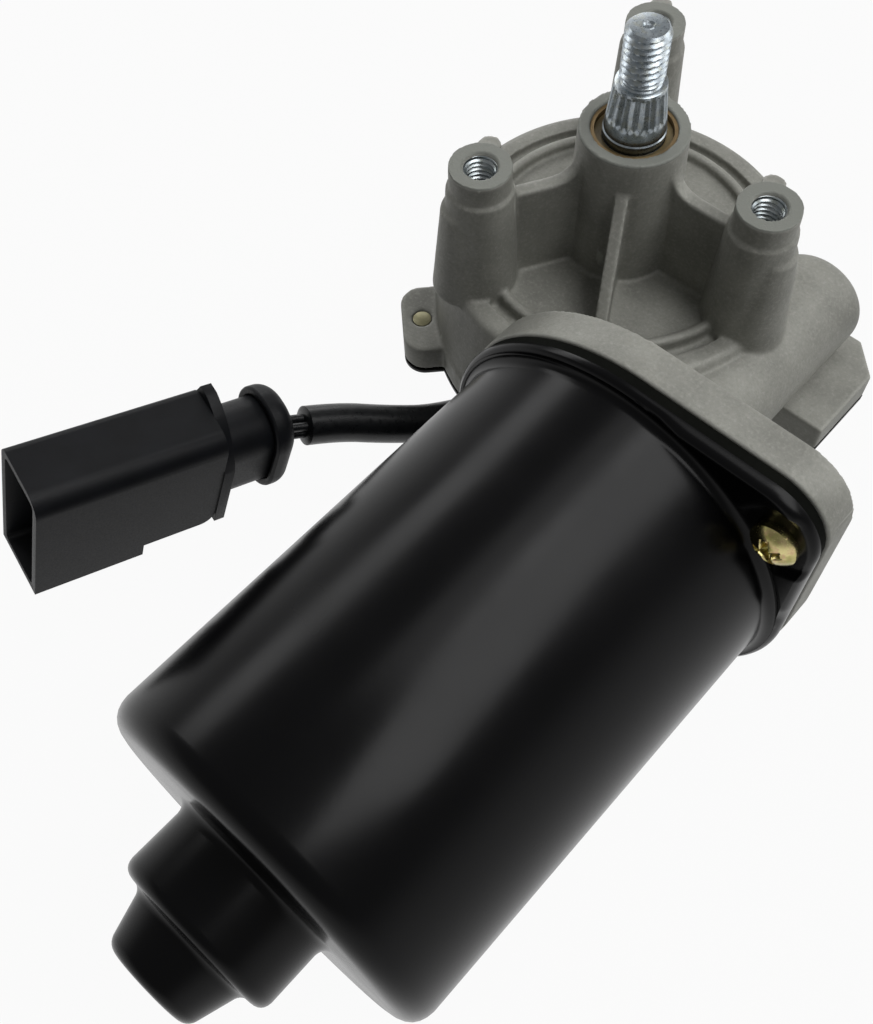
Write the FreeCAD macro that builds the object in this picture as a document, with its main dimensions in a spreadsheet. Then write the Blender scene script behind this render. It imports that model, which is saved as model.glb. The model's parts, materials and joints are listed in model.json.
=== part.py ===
import FreeCAD
import Part
import math
import os
import Sketcher
from types import SimpleNamespace

# Wiper motor with a worm gearbox, in millimetres.
# Origin: on the output shaft's axis, in the plane of the three mounting bosses.
# +Z runs out along the output shaft, and the motor can points to -Y.
# A "can" measure counts from the output axis towards the can's closed end, so it runs to -Y.

App = FreeCAD
Vector = App.Vector
doc = App.newDocument("wiper_motor")

# Driving dimensions: lengths in millimetres, angles in degrees

driving = {
    # layout
    "worm_level": 40,
    "play": 0.05,
    # mounting bosses and the shaft collar
    "boss_circle": 29,
    "boss_radius": 5.75,
    "boss_step": 5,
    "skirt_top_radius": 6.3,
    "skirt_foot_radius": 7.4,
    "thread_core_radius": 2.5,
    "thread_mouth_radius": 3.6,
    "thread_depth": 18,
    "nub_radius": 2.2,
    "nub_length": 8,
    "nub_drop": 0.8,
    "nub_x": 2.95,
    "nub_y": 5.75,
    "collar_radius": 10.1,
    "collar_foot_radius": 11,
    "collar_rise": 0.2,
    "bush_seat_radius": 7.9,
    "root_offset": 2.6,
    "root_drop": 9,
    "root_top_radius": 4.8,
    "root_foot_radius": 6.9,
    "web_thickness": 2.8,
    "web_drop": 8,
    "web_round": 4.5,
    "gusset_thickness": 2.4,
    "gusset_drop": 6.5,
    "gusset_angle": -60,
    # bowl of the gear housing
    "roof_level": 28.5,
    "roof_thickness": 3.5,
    "arc_rib_inner": 26.3,
    "arc_rib_outer": 28.4,
    "arc_rib_height": 2,
    "groove_depth": 1,
    "shoulder_inner": 30.8,
    "shoulder_outer": 35.2,
    "shoulder_height": 0.8,
    "shoulder_round": 1.8,
    "wall_foot_radius": 36.8,
    "wheel_room": 1.7,
    # rim that the cover closes
    "rim_radius": 37.2,
    "rim_level": 55,
    "rim_height": 6.5,
    "lug_reach": 44.3,
    "lug_width": 17.5,
    "lug_round": 4.5,
    "lug_circle": 40,
    "front_lug_angle": -133,
    "rear_lug_angle": 125,
    "side_lug_angle": 62,
    "block_end": 52.2,
    "block_near": 2.2,
    "block_far": 26.8,
    "block_chamfer": 6.5,
    "block_screw_inset": 6.5,
    # worm tunnel and bearing seats
    "tunnel_radius": 10.6,
    "tunnel_bore": 7.7,
    "tunnel_length": 25,
    "tunnel_end_wall": 3.5,
    "tunnel_round": 3.6,
    "neck_radius": 14.5,
    "neck_end": 20,
    # motor flange
    "flange_front": 41,
    "flange_thickness": 7,
    "flange_radius": 37.3,
    "flange_corner": 11,
    "can_screw_circle": 40.9,
    "can_screw_angle": 41.3,
    "spigot_length": 6,
    "spigot_wall": 3.4,
    # can
    "gasket_thickness": 2.2,
    "can_radius": 34.5,
    "can_wall": 1.6,
    "can_end": 133.5,
    "can_corner": 5,
    "can_foot_round": 1.2,
    "cup_radius": 15.5,
    "cup_end": 147,
    "cup_corner": 2.6,
    "tip_root_radius": 11.4,
    "tip_radius": 8.6,
    "tip_end": 156,
    "tip_corner": 1.8,
    # fasteners
    "can_screw_radius": 2.5,
    "can_screw_head": 4.3,
    "can_screw_head_height": 3,
    "can_screw_length": 10,
    "cover_screw_radius": 2,
    "cover_screw_head": 3.6,
    "cover_screw_head_height": 2.2,
    "cover_screw_length": 8.9,
    # cover
    "cover_thickness": 1,
    "cover_gasket": 0.4,
    "cover_dish_radius": 17.5,
    "cover_dish_depth": 1.2,
    # armature
    "rear_journal_radius": 4,
    "core_seat_radius": 5,
    "core_radius": 24,
    "core_start": 68,
    "core_length": 48,
    "slot_width": 2.2,
    "slot_radius": 3.1,
    "slot_circle": 18,
    "winding_radius": 21.5,
    "winding_height": 6,
    "winding_room": 4,
    "insulator_thickness": 0.6,
    "commutator_radius": 11.5,
    "commutator_start": 49,
    "commutator_length": 11.8,
    "segment_gap": 0.6,
    "shaft_back_end": 147.8,
    "shaft_front_end": 18.4,
    "worm_bush_length": 5,
    # worm and wheel
    "tooth_size": 1,
    "worm_pitch_radius": 5.7,
    "backlash": 0.12,
    "wheel_width": 10,
    "wheel_rim_wall": 3.4,
    "wheel_web": 4,
    "wheel_hub_radius": 11,
    # ball bearing
    "bearing_radius": 13,
    "bearing_width": 8,
    "ball_radius": 2.3,
    "race_radius": 9,
    "race_gap": 1.5,
    # magnets and brush gear
    "magnet_thickness": 6.8,
    "magnet_length": 60,
    "magnet_span": 116,
    "magnet_start": 62,
    "brush_plate_radius": 31.4,
    "brush_plate_hole": 13,
    "brush_plate_thickness": 2.5,
    "brush_width": 6,
    "brush_height": 7,
    "brush_length": 11,
    "brush_box_wall": 0.6,
    "choke_radius": 3.2,
    "choke_length": 13,
    # output shaft
    "journal_radius": 5.75,
    "journal_top": 1.3,
    "cone_top": 10.3,
    "cone_top_radius": 4.5,
    "stud_radius": 4,
    "stud_top": 21.4,
    "stud_chamfer": 0.7,
    "knurl_radius": 6.4,
    "shaft_foot": 47,
    "upper_bush_length": 14,
    "lower_bush_length": 12.5,
    # park switch
    "track_radius": 22,
    "track_hole": 14,
    "track_thickness": 0.4,
    "switch_plate_thickness": 1.6,
    "finger_width": 3,
    "finger_thickness": 0.4,
    # cable and connector
    "cable_radius": 4,
    "grommet_x": -5,
    "grommet_y": -24,
    "grommet_neck": 4.8,
    "elbow_radius": 5.6,
    "elbow_level": 64,
    "elbow_length": 7.2,
    "plug_turn": -103.3,
    "plug_rise": 17.2,
    "plug_roll": -6.2,
    "plug_x": -39.4,
    "plug_y": -120.4,
    "plug_z": -31,
    "plug_height": 29,
    "plug_width": 14.4,
    "plug_length": 36.5,
    "plug_wall": 1.5,
    "plug_cavity": 20,
    "plug_step_height": 3.3,
    "plug_step_length": 21.6,
    "plug_round": 4,
    "plug_heel_round": 3,
    "plug_back_rise": 1.9,
    "plug_collar_top": 16.4,
    "plug_collar_bottom": 11.2,
    "plug_collar_thickness": 2.2,
    "barrel_height": 18.8,
    "barrel_width": 13,
    "barrel_length": 11.7,
    "cap_height": 22.4,
    "cap_width": 16,
    "cap_length": 5,
    "cap_round": 3.4,
    "pin_width": 2.8,
    "pin_thickness": 0.8,
    "wire_radius": 0.95,
    "bare_wire_length": 5.9,
}

BOSSES = 3
SLOTS = 12
BALLS = 8
WHEEL_TEETH = 57
WORM_TURNS = 7
PRESSURE_ANGLE = 20

sheet = doc.addObject("Spreadsheet::Sheet", "Sizes")
for row, (alias, number) in enumerate(driving.items(), 1):
    sheet.set(f"A{row}", alias)
    sheet.set(f"B{row}", str(number))
    sheet.setAlias(f"B{row}", alias)
doc.recompute()


class Size:
    """A length or angle that carries its number and its expression on the sheet."""

    def __init__(self, text, value):
        self.text = text
        self.value = value

    def __add__(self, other):
        other = as_size(other)
        return Size(f"({self.text} + {other.text})", self.value + other.value)

    def __sub__(self, other):
        other = as_size(other)
        return Size(f"({self.text} - {other.text})", self.value - other.value)

    def __mul__(self, other):
        other = as_size(other)
        return Size(f"({self.text} * {other.text})", self.value * other.value)

    def __truediv__(self, other):
        other = as_size(other)
        return Size(f"({self.text} / {other.text})", self.value / other.value)

    def __neg__(self):
        return Size(f"(0 - {self.text})", -self.value)

    def __radd__(self, other):
        return as_size(other) + self

    def __rsub__(self, other):
        return as_size(other) - self

    def __rmul__(self, other):
        return as_size(other) * self


def as_size(number):
    if isinstance(number, Size):
        return number
    return Size(f"{number}", float(number))


def across(radius, angle):
    """The X part of a point at a radius and an angle in degrees."""
    radius, angle = as_size(radius), as_size(angle)
    return Size(f"({radius.text} * cos({angle.text} * 1 deg))",
                radius.value * math.cos(math.radians(angle.value)))


def along(radius, angle):
    """The Y part of a point at a radius and an angle in degrees."""
    radius, angle = as_size(radius), as_size(angle)
    return Size(f"({radius.text} * sin({angle.text} * 1 deg))",
                radius.value * math.sin(math.radians(angle.value)))


s = SimpleNamespace(**{name: Size(f"Sizes.{name}", float(number)) for name, number in driving.items()})

# Levels and stations that several pieces share

ceiling = s.roof_level + s.roof_thickness
lug_top = s.rim_level - s.rim_height
flange_back = s.flange_front - s.flange_thickness
sheet_front = s.flange_front + s.gasket_thickness + s.can_wall
can_bore = s.can_radius - s.can_wall
spigot_radius = can_bore - 2 * s.play
spigot_end = s.flange_front + s.spigot_length
bearing_start = s.flange_front - s.bearing_width
wheel_pitch_radius = s.tooth_size * (WHEEL_TEETH / 2)
wheel_radius = wheel_pitch_radius + s.tooth_size
chamber_radius = wheel_radius + s.wheel_room
worm_offset = wheel_pitch_radius + s.worm_pitch_radius
wheel_root = wheel_pitch_radius - s.tooth_size * 1.25
wheel_top = s.worm_level - s.wheel_width / 2
wheel_bottom = s.worm_level + s.wheel_width / 2
cover_top = s.rim_level + s.cover_gasket
cover_bottom = cover_top + s.cover_thickness
plate_start = spigot_end + s.play
plate_end = plate_start + s.brush_plate_thickness
brush_station = plate_end + s.brush_box_wall + s.play + s.brush_width / 2

pieces = []


# Helpers for expressions, sketches and features

def bind(thing, name, size):
    """Ties a property of an object to the sheet."""
    size = as_size(size)
    if name in thing.PropertiesList:
        setattr(thing, name, size.value)
    thing.setExpression(name, size.text)


def place(thing, base=(0, 0, 0), rotation=None, path="Placement"):
    """Moves an object to a base point whose parts stay tied to the sheet."""
    base = [as_size(part) for part in base]
    spot = App.Placement(Vector(*[part.value for part in base]), rotation or App.Rotation())
    setattr(thing, path, spot)
    for part, letter in zip(base, "xyz"):
        thing.setExpression(f"{path}.Base.{letter}", part.text)


TOWARDS_CAN = App.Rotation(Vector(1, 0, 0), 90)
ON_CAN_AXIS = (worm_offset, 0, -s.worm_level)


def new_body(label):
    body = doc.addObject("PartDesign::Body", label)
    body.Label = label
    return body


def origin_part(body, role):
    return next(item for item in body.Origin.OriginFeatures if item.Role == role)


def new_sketch(body, name, role="XY_Plane", offset=(0, 0, 0), rotation=None):
    sketch = body.newObject("Sketcher::SketchObject", name)
    sketch.AttachmentSupport = [(origin_part(body, role), "")]
    sketch.MapMode = "FlatFace"
    place(sketch, offset, rotation, "AttachmentOffset")
    return sketch


def constrain(sketch, kind, refs, size):
    size = as_size(size)
    index = sketch.addConstraint(Sketcher.Constraint(kind, *refs, size.value))
    sketch.setExpression(f"Constraints[{index}]", size.text)


def fix_point(sketch, index, end, x, y):
    constrain(sketch, "DistanceX", (-1, 1, index, end), x)
    constrain(sketch, "DistanceY", (-1, 1, index, end), y)


def arc_between(start, end, radius, turn):
    """The arc from start to end; turn is 1 counter-clockwise and -1 clockwise."""
    chord = end - start
    half = chord.Length / 2
    rise = math.sqrt(max(radius * radius - half * half, 0))
    side = Vector(-chord.y, chord.x, 0).normalize() * turn
    centre = start + chord * 0.5 + side * rise
    circle = Part.Circle(centre, Vector(0, 0, 1), radius)
    first, last = (start, end) if turn > 0 else (end, start)
    angles = [math.atan2(point.y - centre.y, point.x - centre.x) for point in (first, last)]
    return Part.ArcOfCircle(circle, angles[0], angles[1])


def add_outline(sketch, corners):
    """A closed outline. A corner is (x, y), or (x, y, radius, turn) where an arc starts there."""
    points = [(as_size(corner[0]), as_size(corner[1])) for corner in corners]
    spots = [Vector(x.value, y.value, 0) for x, y in points]
    starts, ends = [], []
    for number, corner in enumerate(corners):
        here, after = spots[number], spots[(number + 1) % len(spots)]
        if len(corner) == 2:
            index = sketch.addGeometry(Part.LineSegment(here, after), False)
            starts.append((index, 1))
            ends.append((index, 2))
            continue
        radius, turn = as_size(corner[2]), corner[3]
        index = sketch.addGeometry(arc_between(here, after, radius.value, turn), False)
        constrain(sketch, "Radius", (index,), radius)
        starts.append((index, 1 if turn > 0 else 2))
        ends.append((index, 2 if turn > 0 else 1))
    for number in range(len(corners)):
        following = (number + 1) % len(corners)
        sketch.addConstraint(Sketcher.Constraint("Coincident", *ends[number], *starts[following]))
        fix_point(sketch, *starts[number], *points[number])


def pad(body, name, sketch, length, midplane=False, turned_back=False):
    feature = body.newObject("PartDesign::Pad", name)
    feature.Profile = sketch
    bind(feature, "Length", length)
    feature.Midplane = midplane
    feature.Reversed = turned_back
    return feature


def pocket(body, name, sketch, length, midplane=False, turned_back=False):
    feature = body.newObject("PartDesign::Pocket", name)
    feature.Profile = sketch
    bind(feature, "Length", length)
    feature.Midplane = midplane
    feature.Reversed = turned_back
    return feature


def revolve(body, name, sketch, angle=360):
    feature = body.newObject("PartDesign::Revolution", name)
    feature.Profile = sketch
    feature.ReferenceAxis = (sketch, ["V_Axis"])
    bind(feature, "Angle", angle)
    feature.Midplane = as_size(angle).value < 360
    return feature


def primitive(body, kind, name, sizes, base=(0, 0, 0), rotation=None):
    """A PartDesign primitive such as AdditiveCylinder, with its sizes by property name."""
    feature = body.newObject(f"PartDesign::{kind}", name)
    for property_name, size in sizes.items():
        bind(feature, property_name, size)
    place(feature, base, rotation)
    return feature


def cylinder(body, name, radius, height, base=(0, 0, 0), rotation=None, cut=False):
    kind = "SubtractiveCylinder" if cut else "AdditiveCylinder"
    return primitive(body, kind, name, {"Radius": radius, "Height": height}, base, rotation)


def cone(body, name, foot, top, height, base=(0, 0, 0), rotation=None, cut=False):
    kind = "SubtractiveCone" if cut else "AdditiveCone"
    return primitive(body, kind, name, {"Radius1": foot, "Radius2": top, "Height": height}, base, rotation)


def box(body, name, length, width, height, base=(0, 0, 0), rotation=None, cut=False):
    kind = "SubtractiveBox" if cut else "AdditiveBox"
    return primitive(body, kind, name, {"Length": length, "Width": width, "Height": height}, base, rotation)


def around(body, name, features, count, role="Z_Axis"):
    """Copies features evenly round an axis of the body."""
    pattern = body.newObject("PartDesign::PolarPattern", name)
    pattern.Originals = features
    pattern.Axis = (origin_part(body, role), [""])
    pattern.Angle = 360
    pattern.Occurrences = count
    body.Tip = pattern
    return pattern


def round_edges(body, name, radius, chosen):
    """Fillets the edges of the body's tip that the test picks."""
    doc.recompute()
    base = body.Tip
    names = [f"Edge{number}" for number, edge in enumerate(base.Shape.Edges, 1) if chosen(edge)]
    if not names:
        raise RuntimeError(f"{name} finds no edge")
    feature = body.newObject("PartDesign::Fillet", name)
    feature.Base = (base, names)
    bind(feature, "Radius", radius)
    body.Tip = feature
    return feature


def keep(label, thing):
    """Names a finished sub-part, which becomes the node of that name."""
    thing.Label = label
    pieces.append(thing)
    return thing


def turned(label, corners, base=(0, 0, 0), rotation=None):
    """A piece turned round its own axis, from corners given as radius and height."""
    body = new_body(label)
    sketch = new_sketch(body, f"{label}_profile", "XZ_Plane")
    add_outline(sketch, corners)
    revolve(body, f"{label}_turned", sketch)
    place(body, base, rotation)
    return body


def ring(label, inner, outer, foot, height, base=(0, 0, 0), rotation=None):
    """A plain ring, bush or washer."""
    inner, outer, foot, height = map(as_size, (inner, outer, foot, height))
    corners = [(inner, foot), (outer, foot), (outer, foot + height), (inner, foot + height)]
    return turned(label, corners, base, rotation)


def group(label, members):
    """Several separate solids kept together as one node."""
    together = doc.addObject("Part::Compound", label)
    together.Links = members
    return together


def solid(kind, name, sizes, base=(0, 0, 0), rotation=None):
    """A Part primitive such as Cylinder, with its sizes by property name."""
    thing = doc.addObject(f"Part::{kind}", name)
    for property_name, size in sizes.items():
        bind(thing, property_name, size)
    place(thing, base, rotation)
    return thing


def joined(label, members):
    fusion = doc.addObject("Part::MultiFuse", label)
    fusion.Shapes = members
    return fusion


def cut_from(label, base, tool):
    difference = doc.addObject("Part::Cut", label)
    difference.Base = base
    difference.Tool = tool
    return difference


# Outlines that neighbouring pieces share

def add_flange_outline(sketch, radius):
    """The motor flange: a circle with two opposite square corners, which are rounded."""
    inset = radius - s.flange_corner
    add_outline(sketch, [
        (0, radius),
        (inset, radius, s.flange_corner, -1),
        (radius, inset),
        (radius, 0, radius, -1),
        (0, -radius),
        (-inset, -radius, s.flange_corner, -1),
        (-radius, -inset),
        (-radius, 0, radius, -1),
    ])


def lug_angles():
    return (s.front_lug_angle, s.rear_lug_angle, s.side_lug_angle)


def cover_screw_spots():
    """Centres of the four cover screws: one in each lug and one in the block."""
    spots = [(across(s.lug_circle, angle), along(s.lug_circle, angle)) for angle in lug_angles()]
    spots.append((s.block_end - s.block_screw_inset, s.block_near + s.block_screw_inset))
    return spots


def add_rim(body, foot, height):
    """The rim that housing, gasket and cover share: a disc, three lugs and the corner block."""
    cylinder(body, "rim", s.rim_radius, height, (0, 0, foot))
    half, reach = s.lug_width / 2, s.lug_reach
    shoulder = reach - s.lug_round
    for number, angle in enumerate(lug_angles()):
        turn = App.Rotation(Vector(0, 0, 1), angle.value)
        sketch = new_sketch(body, f"lug_outline_{number}", "XY_Plane", (0, 0, foot), turn)
        sketch.setExpression("AttachmentOffset.Rotation.Angle", f"{angle.text} * 1 deg")
        add_outline(sketch, [
            (chamber_radius, -half),
            (shoulder, -half, s.lug_round, 1),
            (reach, s.lug_round - half),
            (reach, half - s.lug_round, s.lug_round, 1),
            (shoulder, half),
            (chamber_radius, half),
        ])
        pad(body, f"lug_{number}", sketch, height)
    sketch = new_sketch(body, "block_outline", "XY_Plane", (0, 0, foot))
    add_outline(sketch, [
        (chamber_radius - 4, s.block_near),
        (s.block_end, s.block_near),
        (s.block_end, s.block_far - s.block_chamfer),
        (s.block_end - s.block_chamfer, s.block_far),
        (chamber_radius - 4, s.block_far),
    ])
    pad(body, "block", sketch, height)


# Gearbox

def can_screw_spot(side):
    """Where a can screw stands in the flange, across and up from the can's axis."""
    return (across(s.can_screw_circle, s.can_screw_angle) * side,
            along(s.can_screw_circle, s.can_screw_angle) * side)


def gear_housing():
    body = new_body("gear_housing")
    shoulder_level = -(s.roof_level - s.shoulder_height)
    bead_radius = (s.arc_rib_outer - s.arc_rib_inner) * 0.53
    bead_level = s.arc_rib_height - s.roof_level - bead_radius * 0.7
    profile = new_sketch(body, "bowl_profile", "XZ_Plane")
    add_outline(profile, [
        (0, s.collar_rise),
        (s.collar_radius, s.collar_rise),
        (s.collar_foot_radius, -s.roof_level),
        (s.arc_rib_inner, -s.roof_level),
        (s.arc_rib_inner, bead_level, bead_radius, -1),
        (s.arc_rib_outer, bead_level),
        (s.arc_rib_outer, -s.roof_level - s.groove_depth),
        (s.shoulder_inner, -s.roof_level - s.groove_depth),
        (s.shoulder_inner, shoulder_level),
        (s.shoulder_outer - s.shoulder_round, shoulder_level, s.shoulder_round, -1),
        (s.shoulder_outer, shoulder_level - s.shoulder_round),
        (s.wall_foot_radius, -lug_top),
        (s.wall_foot_radius, -s.rim_level),
        (0, -s.rim_level),
    ])
    revolve(body, "bowl", profile)
    add_rim(body, -s.rim_level, s.rim_height)

    # worm tunnel with its neck, and the motor flange, round the can's axis
    tunnel = new_sketch(body, "tunnel_profile", "XY_Plane", (worm_offset, 0, -s.worm_level))
    add_outline(tunnel, [
        (0, -flange_back),
        (s.neck_radius, -flange_back),
        (s.tunnel_radius, -s.neck_end),
        (s.tunnel_radius, s.tunnel_length - s.tunnel_round, s.tunnel_round, 1),
        (s.tunnel_radius - s.tunnel_round, s.tunnel_length),
        (0, s.tunnel_length),
    ])
    revolve(body, "tunnel", tunnel)
    flange = new_sketch(body, "flange_outline", "XZ_Plane", (worm_offset, -s.worm_level, flange_back))
    add_flange_outline(flange, s.flange_radius)
    pad(body, "flange", flange, s.flange_thickness)
    cylinder(body, "spigot", spigot_radius, s.spigot_length, (worm_offset, -s.flange_front, -s.worm_level),
             TOWARDS_CAN)

    # bosses and webs
    sink = 1.2
    tip = cylinder(body, "boss_tip", s.boss_radius, s.boss_step + 0.5, (s.boss_circle, 0, -s.boss_step - 0.5))
    skirt = cone(body, "boss_skirt", s.skirt_foot_radius, s.skirt_top_radius,
                 s.roof_level + sink - s.boss_step, (s.boss_circle, 0, -s.roof_level - sink))
    root = cone(body, "boss_root", s.root_foot_radius, s.root_top_radius, s.roof_level + sink - s.root_drop,
                (s.boss_circle + s.root_offset, 0, -s.roof_level - sink))
    web_outline = new_sketch(body, "web_outline", "XZ_Plane")
    add_outline(web_outline, [
        (s.collar_radius - 1.5, s.web_round - s.web_drop),
        (s.collar_radius + 0.2, s.web_round - s.web_drop, s.web_round, 1),
        (s.collar_radius + 0.2 + s.web_round, -s.web_drop),
        (s.boss_circle, -s.web_drop),
        (s.boss_circle, -s.roof_level - sink),
        (s.collar_radius - 1.5, -s.roof_level - sink),
    ])
    web = pad(body, "boss_web", web_outline, s.web_thickness, midplane=True)
    around(body, "bosses", [tip, skirt, root, web], BOSSES)
    for number in range(BOSSES):
        angle = 360 * number / BOSSES
        cylinder(body, f"boss_nub_{number}", s.nub_radius, s.nub_length,
                 (across(s.boss_circle, angle) - s.nub_x, along(s.boss_circle, angle) + s.nub_y,
                  -s.nub_drop - s.nub_length))
    turn = App.Rotation(Vector(0, 1, 0), s.gusset_angle.value)
    gusset = new_sketch(body, "gusset_outline", "XZ_Plane", (0, 0, 0), turn)
    gusset.setExpression("AttachmentOffset.Rotation.Angle", f"{s.gusset_angle.text} * 1 deg")
    add_outline(gusset, [
        (s.collar_radius - 1.5, -s.gusset_drop),
        (s.collar_radius + 0.4, -s.gusset_drop),
        (s.arc_rib_outer - 0.5, s.arc_rib_height - s.roof_level),
        (s.arc_rib_outer - 0.5, -s.roof_level - sink),
        (s.collar_radius - 1.5, -s.roof_level - sink),
    ])
    pad(body, "gusset", gusset, s.gusset_thickness, midplane=True)

    # hollows
    cylinder(body, "chamber", chamber_radius, s.rim_level - ceiling + 1, (0, 0, -s.rim_level - 1),
             cut=True)
    cylinder(body, "shaft_bore", s.bush_seat_radius, ceiling + s.collar_rise + 2,
             (0, 0, -ceiling - 1), cut=True)
    bore_length = s.flange_front + s.spigot_length + s.tunnel_length - s.tunnel_end_wall
    cylinder(body, "worm_bore", s.tunnel_bore, bore_length,
             (worm_offset, s.tunnel_length - s.tunnel_end_wall, -s.worm_level), TOWARDS_CAN, cut=True)
    cylinder(body, "bearing_seat", s.bearing_radius + s.play, s.bearing_width + s.spigot_length + 1,
             (worm_offset, -bearing_start, -s.worm_level), TOWARDS_CAN, cut=True)
    cylinder(body, "spigot_bore", spigot_radius - s.spigot_wall, s.spigot_length + 1,
             (worm_offset, -s.flange_front, -s.worm_level), TOWARDS_CAN, cut=True)

    # threaded holes: mounting bosses, cover screws and can screws
    hole = cylinder(body, "boss_thread", s.thread_core_radius, s.thread_depth + 1,
                    (s.boss_circle, 0, -s.thread_depth), cut=True)
    mouth = cone(body, "boss_thread_mouth", s.thread_core_radius, s.thread_mouth_radius,
                 s.thread_mouth_radius - s.thread_core_radius,
                 (s.boss_circle, 0, s.thread_core_radius - s.thread_mouth_radius), cut=True)
    around(body, "boss_threads", [hole, mouth], BOSSES)
    for number, (x, y) in enumerate(cover_screw_spots()):
        cylinder(body, f"cover_thread_{number}", s.cover_screw_radius + s.play, s.cover_screw_length - 1,
                 (x, y, -s.rim_level), cut=True)
    for number, side in enumerate((1, -1)):
        reach, rise = can_screw_spot(side)
        cylinder(body, f"can_thread_{number}", s.can_screw_radius + s.play, s.flange_thickness + 2,
                 (worm_offset + reach, 1 - flange_back, rise - s.worm_level), TOWARDS_CAN, cut=True)
    return keep("gear_housing", body)


def rim_plate(label, foot, height):
    """A flat piece with the rim's outline and the screw holes: the gasket or the cover."""
    body = new_body(label)
    add_rim(body, foot, height)
    for number, (x, y) in enumerate(cover_screw_spots()):
        cylinder(body, f"hole_{number}", s.cover_screw_radius + 0.2, height + 2, (x, y, foot - 1), cut=True)
    box(body, "flange_clearance", s.flange_radius, 10, height + 2,
        (worm_offset - s.flange_radius - 1, 0.2 - flange_back - 10, foot - 1), cut=True)
    return body


def cover_gasket():
    body = rim_plate("cover_gasket", -cover_top, s.cover_gasket)
    cylinder(body, "opening", chamber_radius, s.cover_gasket + 2, (0, 0, -cover_top - 1), cut=True)
    return keep("cover_gasket", body)


def gearbox_cover():
    body = rim_plate("gearbox_cover", -cover_bottom, s.cover_thickness)
    dish = s.cover_dish_radius
    cone(body, "dish", dish - s.cover_dish_depth, dish, s.cover_dish_depth,
         (0, 0, -cover_bottom - s.cover_dish_depth))
    cone(body, "dish_hollow", dish - s.cover_dish_depth - s.cover_thickness, dish - s.cover_thickness,
         s.cover_dish_depth + 0.01, (0, 0, -cover_top - s.cover_dish_depth), cut=True)
    cylinder(body, "grommet_hole", s.grommet_neck + s.play, 4, (s.grommet_x, s.grommet_y, -cover_bottom - 1),
             cut=True)
    return keep("gearbox_cover", body)


def screw(name, radius, length, head, head_height, base, rotation):
    """A pan-head screw with a cross recess; its head points along +Z before it is turned."""
    parts = [
        solid("Cylinder", f"{name}_shank", {"Radius": radius, "Height": length}, (0, 0, -length)),
        solid("Cylinder", f"{name}_rim", {"Radius": head, "Height": head_height * 0.5}),
        solid("Cone", f"{name}_crown", {"Radius1": head, "Radius2": head * 0.6, "Height": head_height * 0.5},
              (0, 0, head_height * 0.5)),
    ]
    slots = []
    for number, angle in enumerate((0, 90)):
        turn = App.Rotation(Vector(0, 0, 1), angle)
        corner = turn.multVec(Vector(-1, -1, 0))
        sizes = {"Length": head * 1.1, "Width": head * 0.22, "Height": head_height}
        start = (head * 0.55 * corner.x, head * 0.11 * corner.y, head_height * 0.45)
        if angle:
            start = (head * 0.11 * corner.x, head * 0.55 * corner.y, head_height * 0.45)
        slots.append(solid("Box", f"{name}_slot_{number}", sizes, start, turn))
    blank = joined(f"{name}_blank", parts)
    recess = joined(f"{name}_recess", slots)
    whole = cut_from(name, blank, recess)
    place(whole, base, rotation)
    return whole


def cover_screws():
    upside_down = App.Rotation(Vector(1, 0, 0), 180)
    members = [
        screw(f"cover_screw_{number}", s.cover_screw_radius - s.play, s.cover_screw_length - 1.2,
              s.cover_screw_head, s.cover_screw_head_height, (x, y, -cover_bottom), upside_down)
        for number, (x, y) in enumerate(cover_screw_spots())
    ]
    return keep("cover_screws", group("cover_screws", members))


def can_screws():
    members = []
    for number, side in enumerate((1, -1)):
        reach, rise = can_screw_spot(side)
        members.append(screw(f"can_screw_{number}", s.can_screw_radius - s.play, s.can_screw_length,
                             s.can_screw_head, s.can_screw_head_height,
                             (worm_offset + reach, -sheet_front, rise - s.worm_level), TOWARDS_CAN))
    return keep("can_screws", group("can_screws", members))


# Motor can and its magnets

def add_can_screw_holes(body, foot, height):
    for number, side in enumerate((1, -1)):
        reach, rise = can_screw_spot(side)
        cylinder(body, f"screw_hole_{number}", s.can_screw_radius + 0.3, height, (reach, rise, foot),
                 cut=True)


def can_gasket():
    body = new_body("can_gasket")
    outline = new_sketch(body, "gasket_outline", "XY_Plane", (0, 0, s.flange_front))
    add_flange_outline(outline, s.flange_radius - 0.4)
    pad(body, "gasket_sheet", outline, s.gasket_thickness)
    cylinder(body, "gasket_opening", can_bore, s.gasket_thickness + 2, (0, 0, s.flange_front - 1),
             cut=True)
    add_can_screw_holes(body, s.flange_front - 1, s.gasket_thickness + 2)
    place(body, ON_CAN_AXIS, TOWARDS_CAN)
    return keep("can_gasket", body)


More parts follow.
